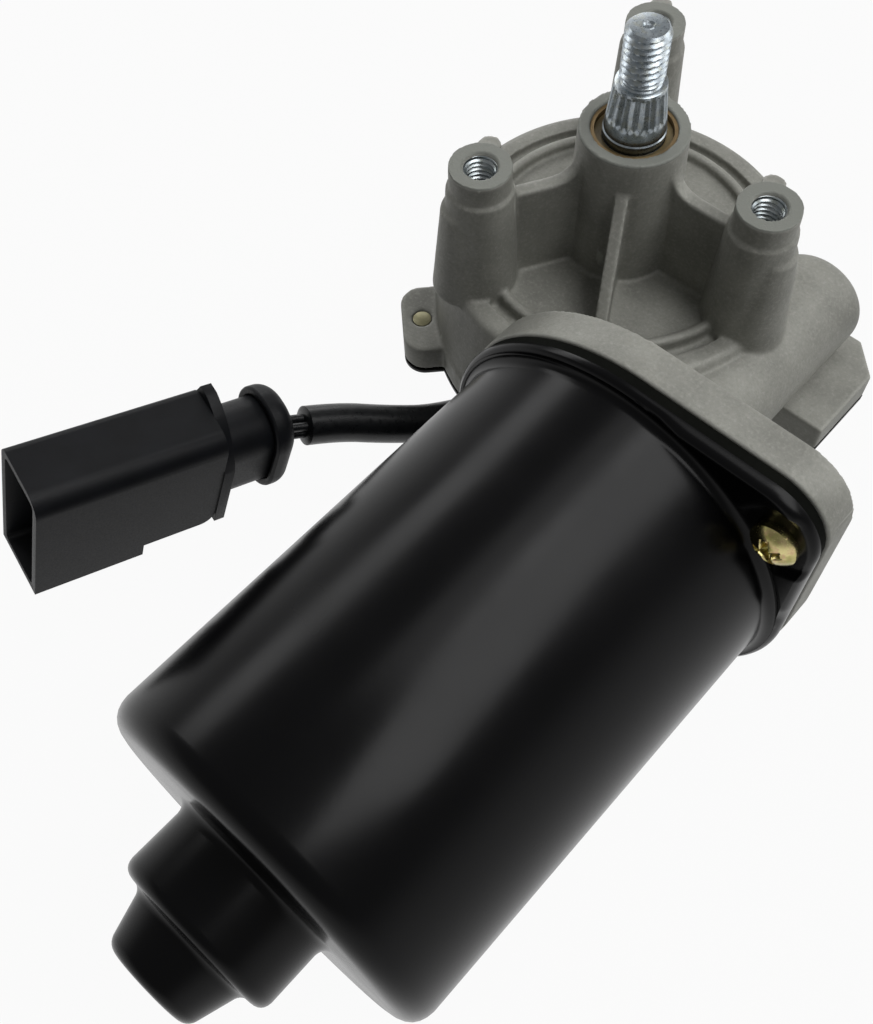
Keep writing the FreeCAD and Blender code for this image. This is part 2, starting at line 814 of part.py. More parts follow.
def motor_can():
    body = new_body("motor_can")
    foot = s.flange_front + s.gasket_thickness
    outline = new_sketch(body, "ear_outline", "XY_Plane", (0, 0, foot))
    add_flange_outline(outline, s.flange_radius)
    pad(body, "ears", outline, s.can_wall)
    profile = new_sketch(body, "can_profile", "XZ_Plane")
    bend = s.can_foot_round
    cup, tip = s.cup_radius, s.tip_root_radius
    add_outline(profile, [
        (0, foot),
        (s.can_radius + bend, foot),
        (s.can_radius + bend, sheet_front, bend, -1),
        (s.can_radius, sheet_front + bend),
        (s.can_radius, s.can_end - s.can_corner, s.can_corner, 1),
        (s.can_radius - s.can_corner, s.can_end),
        (cup + 2, s.can_end, 2, -1),
        (cup, s.can_end + 2),
        (cup, s.cup_end - s.cup_corner, s.cup_corner, 1),
        (cup - s.cup_corner, s.cup_end),
        (tip, s.cup_end),
        (s.tip_radius, s.tip_end - s.tip_corner, s.tip_corner, 1),
        (s.tip_radius - s.tip_corner, s.tip_end),
        (0, s.tip_end),
    ])
    revolve(body, "drawn_shell", profile)
    wall = s.can_wall
    hollow = new_sketch(body, "hollow_profile", "XZ_Plane")
    inner_corner = s.can_corner - wall
    add_outline(hollow, [
        (0, foot - 1),
        (can_bore, foot - 1),
        (can_bore, s.can_end - s.can_corner, inner_corner, 1),
        (can_bore - inner_corner, s.can_end - wall),
        (cup - wall, s.can_end - wall),
        (cup - wall, s.cup_end - wall - 1),
        (cup - wall - 1, s.cup_end - wall),
        (tip - wall, s.cup_end - wall),
        (s.tip_radius - wall, s.tip_end - wall),
        (0, s.tip_end - wall),
    ])
    groove = body.newObject("PartDesign::Groove", "hollow")
    groove.Profile = hollow
    groove.ReferenceAxis = (hollow, ["V_Axis"])
    groove.Angle = 360
    body.Tip = groove
    add_can_screw_holes(body, foot - 1, 4)
    place(body, ON_CAN_AXIS, TOWARDS_CAN)
    return keep("motor_can", body)


def magnet(label, angle):
    body = new_body(label)
    turn = App.Rotation(Vector(0, 1, 0), angle)
    profile = new_sketch(body, f"{label}_profile", "XZ_Plane", (0, 0, 0), turn)
    outer = can_bore - s.play
    add_outline(profile, [
        (outer - s.magnet_thickness, s.magnet_start),
        (outer, s.magnet_start),
        (outer, s.magnet_start + s.magnet_length),
        (outer - s.magnet_thickness, s.magnet_start + s.magnet_length),
    ])
    revolve(body, f"{label}_arc", profile, s.magnet_span)
    place(body, ON_CAN_AXIS, TOWARDS_CAN)
    return keep(label, body)


def magnet_clips():
    """Two bent spring strips that press the magnets apart against the can."""
    members = []
    outer = can_bore - s.play
    for number, angle in enumerate((0, 180)):
        body = new_body(f"magnet_clip_{number}")
        turn = App.Rotation(Vector(0, 1, 0), angle)
        profile = new_sketch(body, f"clip_profile_{number}", "XZ_Plane", (0, 0, 0), turn)
        add_outline(profile, [
            (outer - 1.2, s.magnet_start + 4),
            (outer, s.magnet_start + 4),
            (outer, s.magnet_start + s.magnet_length - 4),
            (outer - 1.2, s.magnet_start + s.magnet_length - 4),
        ])
        revolve(body, f"clip_arc_{number}", profile, 176 - s.magnet_span)
        place(body, ON_CAN_AXIS, TOWARDS_CAN)
        members.append(body)
    return keep("magnet_clips", group("magnet_clips", members))


# Armature and its bearings, drawn along the can's axis

def add_worm(body):
    """One right-hand thread, cut to mesh with the wheel; a gap faces the wheel's middle tooth."""
    pitch = s.tooth_size * math.pi
    slope = math.tan(math.radians(PRESSURE_ANGLE))
    root_depth = s.tooth_size * 1.4
    half = pitch / 4
    start = -pitch * (WORM_TURNS // 2)
    profile = new_sketch(body, "thread_profile", "XZ_Plane")
    add_outline(profile, [
        (s.worm_pitch_radius - root_depth, start - half - root_depth * slope),
        (s.worm_pitch_radius + s.tooth_size, start - half + s.tooth_size * slope),
        (s.worm_pitch_radius + s.tooth_size, start + half - s.tooth_size * slope),
        (s.worm_pitch_radius - root_depth, start + half + root_depth * slope),
    ])
    thread = body.newObject("PartDesign::AdditiveHelix", "worm_thread")
    thread.Profile = profile
    thread.ReferenceAxis = (profile, ["V_Axis"])
    thread.Mode = "pitch-height-angle"
    bind(thread, "Pitch", pitch)
    bind(thread, "Height", pitch * WORM_TURNS)
    body.Tip = thread


def armature_shaft():
    body = new_body("armature_shaft")
    root = s.worm_pitch_radius - s.tooth_size * 1.25
    front_neck = s.tooth_size * math.pi * (WORM_TURNS // 2) + 2
    back_neck = s.tooth_size * math.pi * (WORM_TURNS - WORM_TURNS // 2) + 2
    profile = new_sketch(body, "shaft_profile", "XZ_Plane")
    add_outline(profile, [
        (0, -s.shaft_front_end),
        (s.rear_journal_radius - 0.5, -s.shaft_front_end),
        (s.rear_journal_radius, 0.5 - s.shaft_front_end),
        (s.rear_journal_radius, -front_neck),
        (root, -front_neck),
        (root, back_neck),
        (s.core_seat_radius + 1.6, back_neck + 3),
        (s.core_seat_radius + 1.6, bearing_start),
        (s.core_seat_radius, bearing_start),
        (s.core_seat_radius, s.core_start + s.core_length + 7),
        (s.rear_journal_radius, s.core_start + s.core_length + 7),
        (s.rear_journal_radius, s.shaft_back_end - 0.5),
        (s.rear_journal_radius - 0.5, s.shaft_back_end),
        (0, s.shaft_back_end),
    ])
    revolve(body, "shaft_blank", profile)
    add_worm(body)
    place(body, ON_CAN_AXIS, TOWARDS_CAN)
    return keep("armature_shaft", body)


def armature_core():
    body = new_body("armature_core")
    cylinder(body, "stack", s.core_radius, s.core_length, (0, 0, s.core_start))
    slot = cylinder(body, "slot", s.slot_radius, s.core_length + 2, (s.slot_circle, 0, s.core_start - 1),
                    cut=True)
    mouth = box(body, "slot_mouth", s.core_radius - s.slot_circle + 1, s.slot_width, s.core_length + 2,
                (s.slot_circle, -s.slot_width / 2, s.core_start - 1), cut=True)
    around(body, "slots", [slot, mouth], SLOTS)
    cylinder(body, "core_bore", s.core_seat_radius + s.play, s.core_length + 2, (0, 0, s.core_start - 1),
             cut=True)
    place(body, ON_CAN_AXIS, TOWARDS_CAN)
    return keep("armature_core", body)


def core_insulators():
    inner, outer = s.core_seat_radius + s.play, s.slot_circle - s.slot_radius - 0.4
    thickness = s.insulator_thickness
    members = [
        ring("front_insulator", inner, outer, s.core_start - thickness, thickness, ON_CAN_AXIS, TOWARDS_CAN),
        ring("rear_insulator", inner, outer, s.core_start + s.core_length, thickness, ON_CAN_AXIS,
             TOWARDS_CAN),
    ]
    return keep("core_insulators", group("core_insulators", members))


def armature_windings():
    """The coil ends at both faces of the core, joined by the wires in the slots."""
    body = new_body("armature_windings")
    inner = s.core_seat_radius + s.winding_room
    outer = s.winding_radius
    rise = s.winding_height
    for number, (face, side) in enumerate(((s.core_start - s.insulator_thickness, -1),
                                           (s.core_start + s.core_length + s.insulator_thickness, 1))):
        profile = new_sketch(body, f"coil_end_profile_{number}", "XZ_Plane")
        corners = [
            (inner, face),
            (outer, face),
            (outer, face + side * (rise - 2.5)),
            (outer - 2.5, face + side * rise),
            (inner + 2.5, face + side * rise),
            (inner, face + side * (rise - 2.5)),
        ]
        add_outline(profile, corners)
        revolve(body, f"coil_end_{number}", profile)
        if number == 0:
            bar = cylinder(body, "slot_wires", s.slot_radius - 0.1,
                           s.core_length + s.insulator_thickness * 2 + 2,
                           (s.slot_circle, 0, s.core_start - s.insulator_thickness - 1))
            around(body, "slot_wire_ring", [bar], SLOTS)
    place(body, ON_CAN_AXIS, TOWARDS_CAN)
    return keep("armature_windings", body)


def commutator():
    body = new_body("commutator")
    end = s.commutator_start + s.commutator_length
    cylinder(body, "segments", s.commutator_radius, s.commutator_length, (0, 0, s.commutator_start))
    cylinder(body, "riser", s.commutator_radius + 1.5, 1.6, (0, 0, end - 1.6))
    gap = box(body, "segment_slot", 4, s.segment_gap, s.commutator_length + 2,
              (s.commutator_radius - 1, -s.segment_gap / 2, s.commutator_start - 1), cut=True)
    around(body, "segment_slots", [gap], SLOTS)
    cylinder(body, "commutator_bore", s.core_seat_radius + s.play, s.commutator_length + 2,
             (0, 0, s.commutator_start - 1), cut=True)
    place(body, ON_CAN_AXIS, TOWARDS_CAN)
    return keep("commutator", body)


def bearing_ring(label, inner, outer):
    """One ring of the ball bearing, with its ball groove."""
    body = new_body(label)
    sketch = new_sketch(body, f"{label}_profile", "XZ_Plane")
    add_outline(sketch, [(inner, bearing_start), (outer, bearing_start),
                         (outer, s.flange_front), (inner, s.flange_front)])
    revolve(body, f"{label}_turned", sketch)
    middle = bearing_start + s.bearing_width / 2
    primitive(body, "SubtractiveTorus", f"{label}_groove",
              {"Radius1": s.race_radius, "Radius2": s.ball_radius + s.play}, (0, 0, middle))
    place(body, ON_CAN_AXIS, TOWARDS_CAN)
    return keep(label, body)


def front_bearing():
    bearing_ring("front_bearing_outer", s.race_radius + s.race_gap, s.bearing_radius)
    bearing_ring("front_bearing_inner", s.core_seat_radius + s.play / 2, s.race_radius - s.race_gap)
    members = []
    station = -(bearing_start + s.bearing_width / 2)
    for number in range(BALLS):
        angle = 360 * number / BALLS
        members.append(solid("Sphere", f"ball_{number}", {"Radius": s.ball_radius},
                             (worm_offset + across(s.race_radius, angle), station,
                              along(s.race_radius, angle) - s.worm_level)))
    keep("front_bearing_balls", group("front_bearing_balls", members))


def bearing_clamp():
    """The thin plate that holds the ball bearing's outer ring in its seat."""
    piece = ring("bearing_clamp", s.race_radius + s.race_gap, s.bearing_radius + 5, s.flange_front, 1,
                 ON_CAN_AXIS, TOWARDS_CAN)
    return keep("bearing_clamp", piece)


def worm_end_bush():
    inner, outer = s.rear_journal_radius + s.play, s.tunnel_bore - s.play
    piece = ring("worm_end_bush", inner, outer, -s.shaft_front_end, s.worm_bush_length, ON_CAN_AXIS,
                 TOWARDS_CAN)
    return keep("worm_end_bush", piece)


def worm_thrust_pad():
    bottom = s.tunnel_length - s.tunnel_end_wall
    depth = bottom - s.shaft_front_end - 2 * s.play
    piece = turned("worm_thrust_pad", [(0, s.play - bottom), (s.tunnel_bore - s.play, s.play - bottom),
                                       (s.tunnel_bore - s.play, s.play + depth - bottom),
                                       (0, s.play + depth - bottom)], ON_CAN_AXIS, TOWARDS_CAN)
    return keep("worm_thrust_pad", piece)


def rear_bush():
    inner, outer = s.rear_journal_radius + s.play, s.cup_radius - s.can_wall - 2.4
    middle = (s.can_end + s.cup_end) / 2 - 1
    piece = turned("rear_bush", [
        (inner, middle - 5), (outer - 3, middle - 5), (outer, middle - 2),
        (outer, middle + 2), (outer - 3, middle + 5), (inner, middle + 5),
    ], ON_CAN_AXIS, TOWARDS_CAN)
    return keep("rear_bush", piece)


def bush_retainer():
    """A spring ring between the rear bush and the cup of the can."""
    body = new_body("bush_retainer")
    inner, outer = s.cup_radius - s.can_wall - 2.4 + s.play, s.cup_radius - s.can_wall - s.play
    middle = (s.can_end + s.cup_end) / 2 - 1
    sketch = new_sketch(body, "retainer_profile", "XZ_Plane")
    add_outline(sketch, [(inner, middle - 1.5), (outer, middle - 2.5), (outer, middle - 1.7),
                         (inner, middle + 1.5)])
    revolve(body, "retainer_ring", sketch)
    slot = box(body, "retainer_slot", 1.6, 1.4, 8, (inner - 0.5, -0.7, middle - 4), cut=True)
    around(body, "retainer_slots", [slot], BALLS)
    place(body, ON_CAN_AXIS, TOWARDS_CAN)
    return keep("bush_retainer", body)


THRUST_BALL = 2.9


def thrust_ball():
    centre = s.shaft_back_end + s.play + THRUST_BALL
    piece = solid("Sphere", "thrust_ball", {"Radius": THRUST_BALL}, (worm_offset, -centre, -s.worm_level))
    return keep("thrust_ball", piece)


def thrust_seat():
    """The plastic cup in the can's tip that carries the thrust ball."""
    middle = s.shaft_back_end + s.play + THRUST_BALL
    end = s.tip_end - s.can_wall - s.play
    hole = s.play + THRUST_BALL
    outer = s.tip_radius - s.can_wall - s.play
    piece = turned("thrust_seat", [
        (hole, middle - 1), (outer, middle - 1), (outer, end), (0, end),
        (0, middle + THRUST_BALL + s.play), (hole, middle + THRUST_BALL + s.play),
    ], ON_CAN_AXIS, TOWARDS_CAN)
    return keep("thrust_seat", piece)


# Brush gear

def brush_plate():
    body = new_body("brush_plate")
    cylinder(body, "plate", s.brush_plate_radius, s.brush_plate_thickness, (0, 0, plate_start))
    cylinder(body, "plate_hole", s.brush_plate_hole, s.brush_plate_thickness + 2, (0, 0, plate_start - 1),
             cut=True)
    notch = box(body, "plate_notch", 6, 8, s.brush_plate_thickness + 2,
                (s.brush_plate_radius - 4, -4, plate_start - 1), cut=True)
    around(body, "plate_notches", [notch], 3)
    place(body, ON_CAN_AXIS, TOWARDS_CAN)
    return keep("brush_plate", body)


def opposite_pair(label, make):
    """Two equal bodies on opposite sides of the commutator."""
    members = []
    for number, angle in enumerate((90, 270)):
        body = make(number)
        turn = TOWARDS_CAN.multiply(App.Rotation(Vector(0, 0, 1), angle))
        place(body, ON_CAN_AXIS, turn)
        members.append(body)
    return keep(label, group(label, members))


def brush_boxes():
    def make(number):
        body = new_body(f"brush_box_{number}")
        wall, gap = s.brush_box_wall, s.play
        inner_width, inner_height = s.brush_width + 2 * gap, s.brush_height + 2 * gap
        start = s.brush_plate_hole + 0.5
        length = s.brush_plate_radius - start - 1
        box(body, f"box_{number}", length, inner_height + 2 * wall, inner_width + 2 * wall,
            (start, -inner_height / 2 - wall, plate_end))
        box(body, f"box_hollow_{number}", length - wall + 1, inner_height, inner_width,
            (start - 1, -inner_height / 2, plate_end + wall), cut=True)
        return body
    return opposite_pair("brush_boxes", make)


def carbon_brushes():
    def make(number):
        body = new_body(f"brush_{number}")
        box(body, f"carbon_{number}", s.brush_length, s.brush_height, s.brush_width,
            (s.commutator_radius - 0.6, -s.brush_height / 2, brush_station - s.brush_width / 2))
        cylinder(body, f"carbon_face_{number}", s.commutator_radius + 2 * s.play, s.brush_width + 2,
                 (0, 0, brush_station - s.brush_width / 2 - 1), cut=True)
        return body
    return opposite_pair("carbon_brushes", make)


SPRING_TURNS = 5
SPRING_WIRE = 0.35


def brush_springs():
    """Coil springs between each brush and the end of its box."""
    members = []
    back = s.commutator_radius.value - 0.6 + s.brush_length.value
    end = s.brush_plate_radius.value - 1 - s.brush_box_wall.value
    gap = SPRING_WIRE + s.play.value
    coil_radius = s.brush_width.value / 2 - gap - 0.2
    height = end - back - 2 * gap
    for number, side in enumerate((1, -1)):
        helix = Part.makeHelix(height / SPRING_TURNS, height, coil_radius)
        start = Vector(coil_radius, 0, 0)
        wire = Part.makePolygon([start + Vector(x * SPRING_WIRE, 0, z * SPRING_WIRE)
                                 for x, z in ((1, 1), (-1, 1), (-1, -1), (1, -1), (1, 1))])
        coil = Part.Wire(helix.Edges).makePipeShell([wire], True, True)
        spring = doc.addObject("Part::Feature", f"brush_spring_{number}")
        spring.Shape = coil
        turn = App.Rotation(Vector(0, 0, 1), Vector(0, 0, side))
        spring.Placement = App.Placement(
            Vector(worm_offset.value, -brush_station.value, side * (back + gap) - s.worm_level.value), turn)
        members.append(spring)
    return keep("brush_springs", group("brush_springs", members))


def choke_spots():
    return ((1, s.brush_plate_hole + 8), (-1, s.brush_plate_hole + 8))


def choke_cores():
    members = []
    lie_down = App.Rotation(Vector(1, 0, 0), 180)
    for number, (side, reach) in enumerate(choke_spots()):
        station = -(plate_end + s.choke_radius + s.play)
        members.append(solid("Cylinder", f"choke_core_{number}",
                             {"Radius": s.choke_radius / 2, "Height": s.choke_length + 4},
                             (worm_offset + side * reach, station, -s.worm_level + s.choke_length / 2 + 2),
                             lie_down))
    return keep("choke_cores", group("choke_cores", members))


CHOKE_TURNS = 6


def choke_windings():
    members = []
    for number, (side, reach) in enumerate(choke_spots()):
        pitch = s.choke_length / CHOKE_TURNS
        inner = s.choke_radius / 2 + s.play
        corners = [(inner, 0)]
        for turn in range(CHOKE_TURNS):
            corners.append((s.choke_radius - 0.6, pitch * turn))
            corners.append((s.choke_radius, pitch * (turn + 0.5)))
        corners.append((s.choke_radius - 0.6, s.choke_length))
        corners.append((inner, s.choke_length))
        station = -(plate_end + s.choke_radius + s.play)
        members.append(turned(f"choke_winding_{number}", corners,
                              (worm_offset + side * reach, station, -s.worm_level - s.choke_length / 2)))
    return keep("choke_windings", group("choke_windings", members))


# Output shaft, wheel and bushes

hub_top = ceiling + 1.6


def output_shaft():
    groove = s.journal_radius - 0.6
    piece = turned("output_shaft", [
        (0, -s.shaft_foot),
        (s.knurl_radius - 1, -s.shaft_foot),
        (s.knurl_radius, 1 - s.shaft_foot),
        (s.knurl_radius, -hub_top),
        (s.journal_radius, -hub_top),
        (s.journal_radius, s.journal_top - 0.3),
        (s.journal_radius - 0.2, s.journal_top),
        (s.cone_top_radius, s.cone_top),
        (s.stud_radius - 0.5, s.cone_top + 0.3),
        (s.stud_radius - 0.5, s.cone_top + 0.9),
        (s.stud_radius, s.cone_top + 1.3),
        (s.stud_radius, s.stud_top - s.stud_chamfer),
        (s.stud_radius - s.stud_chamfer, s.stud_top),
        (1, s.stud_top),
        (0, s.stud_top - 0.8),
    ])
    return keep("output_shaft", piece)


def involute(angle):
    return math.tan(angle) - angle


def wheel_outline(level, turn):
    """The wheel's closed outline at one level, turned by an angle in radians."""
    pressure = math.radians(PRESSURE_ANGLE)
    pitch_radius = wheel_pitch_radius.value
    base_radius = pitch_radius * math.cos(pressure)
    half_tooth = math.pi / (2 * WHEEL_TEETH) - s.backlash.value / (2 * pitch_radius)
    flank = []
    for radius in (wheel_root.value, pitch_radius, wheel_radius.value):
        angle = math.acos(base_radius / radius)
        flank.append((radius, half_tooth + involute(pressure) - involute(angle)))
    points = []
    for tooth in range(WHEEL_TEETH):
        middle = 2 * math.pi * tooth / WHEEL_TEETH + turn
        rising = [(radius, middle - half) for radius, half in flank]
        falling = [(radius, middle + half) for radius, half in reversed(flank)]
        for radius, angle in rising + falling:
            points.append(Vector(radius * math.cos(angle), radius * math.sin(angle), level))
    return Part.makePolygon(points + points[:1])


def gear_wheel():
    """The moulded worm wheel: helical teeth on a rim, a web at the bottom and a hub."""
    lead_slope = s.tooth_size.value / (2 * s.worm_pitch_radius.value)
    twist = lead_slope * s.wheel_width.value / (2 * wheel_pitch_radius.value)
    ends = [wheel_outline(-wheel_bottom.value, -twist), wheel_outline(-wheel_top.value, twist)]
    teeth = Part.makeLoft(ends, True, True)
    blank = doc.addObject("Part::Feature", "wheel_teeth")
    blank.Shape = teeth
    rim_bore = wheel_root - s.wheel_rim_wall
    recess_depth = s.wheel_width - s.wheel_web
    recess_outer = solid("Cylinder", "wheel_recess", {"Radius": rim_bore, "Height": recess_depth + 1},
                         (0, 0, -wheel_top - recess_depth))
    bore = solid("Cylinder", "wheel_bore", {"Radius": s.knurl_radius + s.play, "Height": s.wheel_width + 10},
                 (0, 0, -wheel_bottom - 2))
    hub = solid("Cylinder", "wheel_hub", {"Radius": s.wheel_hub_radius, "Height": wheel_bottom - hub_top},
                (0, 0, -wheel_bottom))
    rim = cut_from("wheel_rim", blank, recess_outer)
    whole = joined("wheel_blank", [rim, hub])
    return keep("gear_wheel", cut_from("gear_wheel", whole, bore))


def thrust_washer():
    piece = ring("thrust_washer", s.journal_radius + 0.15, s.wheel_hub_radius + 1, s.play * 2 - hub_top,
                 hub_top - ceiling - s.play * 4)
    return keep("thrust_washer", piece)


def contact_track():
    """The park switch's copper track under the wheel, with its notch."""
    body = new_body("contact_track")
    cylinder(body, "track", s.track_radius, s.track_thickness, (0, 0, -wheel_bottom - s.track_thickness))
    cylinder(body, "track_hole", s.track_hole, 2, (0, 0, -wheel_bottom - 1), cut=True)
    box(body, "track_notch", 8, 9, 2, (s.track_radius - 5, -4.5, -wheel_bottom - 1), cut=True)
    return keep("contact_track", body)


UPPER_BUSH_TOP = -0.3
SEAL_SPACE = 2.4


def upper_bush():
    inner, outer = s.journal_radius + s.play, s.bush_seat_radius - s.play
    foot = UPPER_BUSH_TOP - s.upper_bush_length
    piece = turned("upper_bush", [
        (inner, foot), (outer, foot), (outer, UPPER_BUSH_TOP), (inner + 1.4, UPPER_BUSH_TOP),
        (inner + 1.4, UPPER_BUSH_TOP - SEAL_SPACE), (inner, UPPER_BUSH_TOP - SEAL_SPACE),
    ])
    return keep("upper_bush", piece)


def shaft_seal():
    inner = s.journal_radius + s.play
    piece = ring("shaft_seal", inner, inner + 1.3, UPPER_BUSH_TOP - SEAL_SPACE + s.play, 1.3)
    return keep("shaft_seal", piece)


def lower_bush():
    inner, outer = s.journal_radius + s.play, s.bush_seat_radius - s.play
    piece = ring("lower_bush", inner, outer, s.play - ceiling, s.lower_bush_length)
    return keep("lower_bush", piece)


def shaft_thrust_pad():
    """The plastic button on the cover that carries the foot of the output shaft."""
    foot = s.play - cover_top
    height = cover_top - s.play - s.shaft_foot - 2 * s.play
    button_radius = s.knurl_radius - 1.5
    piece = turned("shaft_thrust_pad", [(0, foot), (7, foot), (7, foot + 1.2), (button_radius, foot + 2),
                                        (button_radius, foot + height), (0, foot + height)])
    return keep("shaft_thrust_pad", piece)


# Park switch

SWITCH_HOLE = 8
switch_top = s.play + s.switch_plate_thickness - cover_top


def switch_plate():
    body = new_body("switch_plate")
    cylinder(body, "switch_disc", chamber_radius - 3, s.switch_plate_thickness, (0, 0, s.play - cover_top))
    cylinder(body, "switch_hole", SWITCH_HOLE, 4, (0, 0, -cover_top - 1), cut=True)
    cylinder(body, "grommet_clearance", s.grommet_neck + 2.2, 4, (s.grommet_x, s.grommet_y, -cover_top - 1),
             cut=True)
    return keep("switch_plate", body)


FINGER_ANGLES = (60, 90, 120)


def contact_fingers():
    """Spring strips that stand on the switch plate and press up to the track."""
    members = []
    tip_level = -(wheel_bottom + s.track_thickness) - 2 * s.play
    thick = s.finger_thickness
    for number, angle in enumerate(FINGER_ANGLES):
        body = new_body(f"finger_{number}")
        tip = (s.track_radius + s.track_hole) / 2
        sketch = new_sketch(body, f"finger_profile_{number}", "XZ_Plane")
        add_outline(sketch, [
            (tip + 7, switch_top),
            (tip + 7, switch_top + thick),
            (tip + 5, switch_top + thick),
            (tip, tip_level),
            (tip - 2, tip_level - 0.8),
            (tip - 2, tip_level - 0.8 - thick),
            (tip, tip_level - thick),
            (tip + 4.4, switch_top),
        ])
        pad(body, f"finger_strip_{number}", sketch, s.finger_width, midplane=True)
        place(body, (0, 0, 0), App.Rotation(Vector(0, 0, 1), angle))
        members.append(body)
    return keep("contact_fingers", group("contact_fingers", members))


# Cable, grommet and connector

def plug_rotation():
    turn = App.Rotation(Vector(0, 0, 1), s.plug_turn.value)
    rise = App.Rotation(Vector(0, 1, 0), -s.plug_rise.value)
    roll = App.Rotation(Vector(1, 0, 0), s.plug_roll.value)
    return turn.multiply(rise).multiply(roll)


PLUG_AT = (s.plug_x, s.plug_y, s.plug_z)


def plug_point(x, y, z):
    """A point of the connector's own frame, whose +X leaves the mouth, in the part's frame."""
    at = Vector(s.plug_x.value, s.plug_y.value, s.plug_z.value)
    return at + plug_rotation().multVec(Vector(x, y, z))


flange_end = s.plug_length + s.plug_collar_thickness
barrel_end = flange_end + s.barrel_length
cap_start = barrel_end - 3
cap_end = cap_start + s.cap_length

# The cable's corner points between the grommet and the connector, chosen by hand
CABLE_ROUTE = [
    Vector(-11.6, -41.4, -59.7),
    Vector(-17.2, -51, -55),
    Vector(-23.5, -60.6, -49.4),
]


def elbow_centre():
    return Vector(s.grommet_x.value, s.grommet_y.value, -s.elbow_level.value)


def outlet_direction():
    return (CABLE_ROUTE[0] - elbow_centre()).normalize()


def cable_corners():
    """The cable's corner points with its two ends: the grommet's outlet and the back of the cap."""
    grommet_end = elbow_centre() + outlet_direction() * s.elbow_length.value
    cap_back = plug_point(-cap_end.value - 0.4, 0, s.plug_back_rise.value)
    return [grommet_end] + CABLE_ROUTE + [cap_back]


def cable_grommet():
    """A rubber elbow: a neck through the cover and an outlet towards the cable."""
    x, y = s.grommet_x, s.grommet_y
    along_outlet = App.Rotation(Vector(0, 0, 1), outlet_direction())
    neck = s.grommet_neck
    parts = [
        solid("Cylinder", "grommet_neck_part", {"Radius": neck, "Height": s.elbow_level - cover_top + 2},
              (x, y, -s.elbow_level)),
        solid("Cylinder", "grommet_inner_lip", {"Radius": neck + 1.4, "Height": 1.8},
              (x, y, s.play - cover_top)),
        solid("Cylinder", "grommet_outer_lip", {"Radius": s.elbow_radius + 1.2, "Height": 1.6},
              (x, y, -cover_bottom - s.play - 1.6)),
        solid("Cylinder", "grommet_stem",
              {"Radius": s.elbow_radius, "Height": s.elbow_level - cover_bottom - 1},
              (x, y, -s.elbow_level)),
        solid("Sphere", "grommet_elbow", {"Radius": s.elbow_radius}, (x, y, -s.elbow_level)),
        solid("Cone", "grommet_outlet", {"Radius1": s.elbow_radius, "Radius2": s.cable_radius + 0.8,
                                         "Height": s.elbow_length}, (x, y, -s.elbow_level), along_outlet),
    ]
    return keep("cable_grommet", joined("cable_grommet", parts))


def sheath_end():
    before, last = cable_corners()[-2:]
    return last - (last - before).normalize() * s.bare_wire_length.value


def smooth_path(points, end):
    """Straight runs joined by arcs that are as large as their runs allow; it prints their radii.

    The path stops at the given end, which lies on the last run.
    """
    edges = []
    start = points[0]
    for before, corner, after in zip(points, points[1:], points[2:]):
        arriving, leaving = (corner - before).normalize(), (after - corner).normalize()
        half_turn = arriving.getAngle(leaving) / 2
        reach = 0.45 * min((corner - before).Length, (after - corner).Length)
        radius = reach / math.tan(half_turn)
        print(f"cable arc radius {radius:.1f} mm")
        arc_start, arc_end = corner - arriving * reach, corner + leaving * reach
        inward = (leaving - arriving).normalize()
        centre = corner + inward * (radius / math.cos(half_turn))
        middle = centre - inward * radius
        edges.append(Part.LineSegment(start, arc_start).toShape())
        edges.append(Part.Arc(arc_start, middle, arc_end).toShape())
        start = arc_end
    edges.append(Part.LineSegment(start, end).toShape())
    return Part.Wire(edges)


def cable_sheath():
    points = cable_corners()
    path = smooth_path(points, sheath_end())
    circle = Part.Wire(Part.Circle(points[0], points[1] - points[0], s.cable_radius.value).toShape())
    tube = path.makePipeShell([circle], True, False)
    expected = math.pi * s.cable_radius.value ** 2 * path.Length
    print(f"cable length {path.Length:.1f} mm, volume {tube.Volume:.1f}, section by length {expected:.1f}")
    piece = doc.addObject("Part::Feature", "cable_sheath")
    piece.Shape = tube
    return keep("cable_sheath", piece)


def rod(name, start, end, radius):
    piece = doc.addObject("Part::Cylinder", name)
    bind(piece, "Radius", radius)
    piece.Height = (end - start).Length
    piece.Placement = App.Placement(start, App.Rotation(Vector(0, 0, 1), end - start))
    return piece


WIRES = 4


def connector_wires():
    """The bare wires between the end of the sheath and the connector."""
    members = []
    direction = (cable_corners()[-1] - cable_corners()[-2]).normalize()
    for number in range(WIRES):
        angle = math.radians(45 + 360 * number / WIRES)
        spread = 1.55 * s.wire_radius.value
        y, z = spread * math.cos(angle), spread * math.sin(angle)
        end = plug_point(-cap_end.value - 0.4, 1.2 * y, 1.2 * z + s.plug_back_rise.value)
        side = direction.cross(Vector(0, 0, 1)).normalize()
        start = sheath_end() + direction * 0.5 - side * y + side.cross(direction) * z
        members.append(rod(f"connector_wire_{number}", start, end, s.wire_radius))
    return keep("connector_wires", group("connector_wires", members))


def add_plug_outline(sketch, height, width, rounding, rise=0):
    """A rectangle with four equal rounded corners, whose middle is raised."""
    half_width, top, low = width / 2, rise + height / 2, rise - height / 2
    add_outline(sketch, [
        (-half_width, top - rounding, rounding, -1),
        (rounding - half_width, top),
        (half_width - rounding, top, rounding, -1),
        (half_width, top - rounding),
        (half_width, low + rounding, rounding, -1),
        (half_width - rounding, low),
        (rounding - half_width, low, rounding, -1),
        (-half_width, low + rounding),
    ])


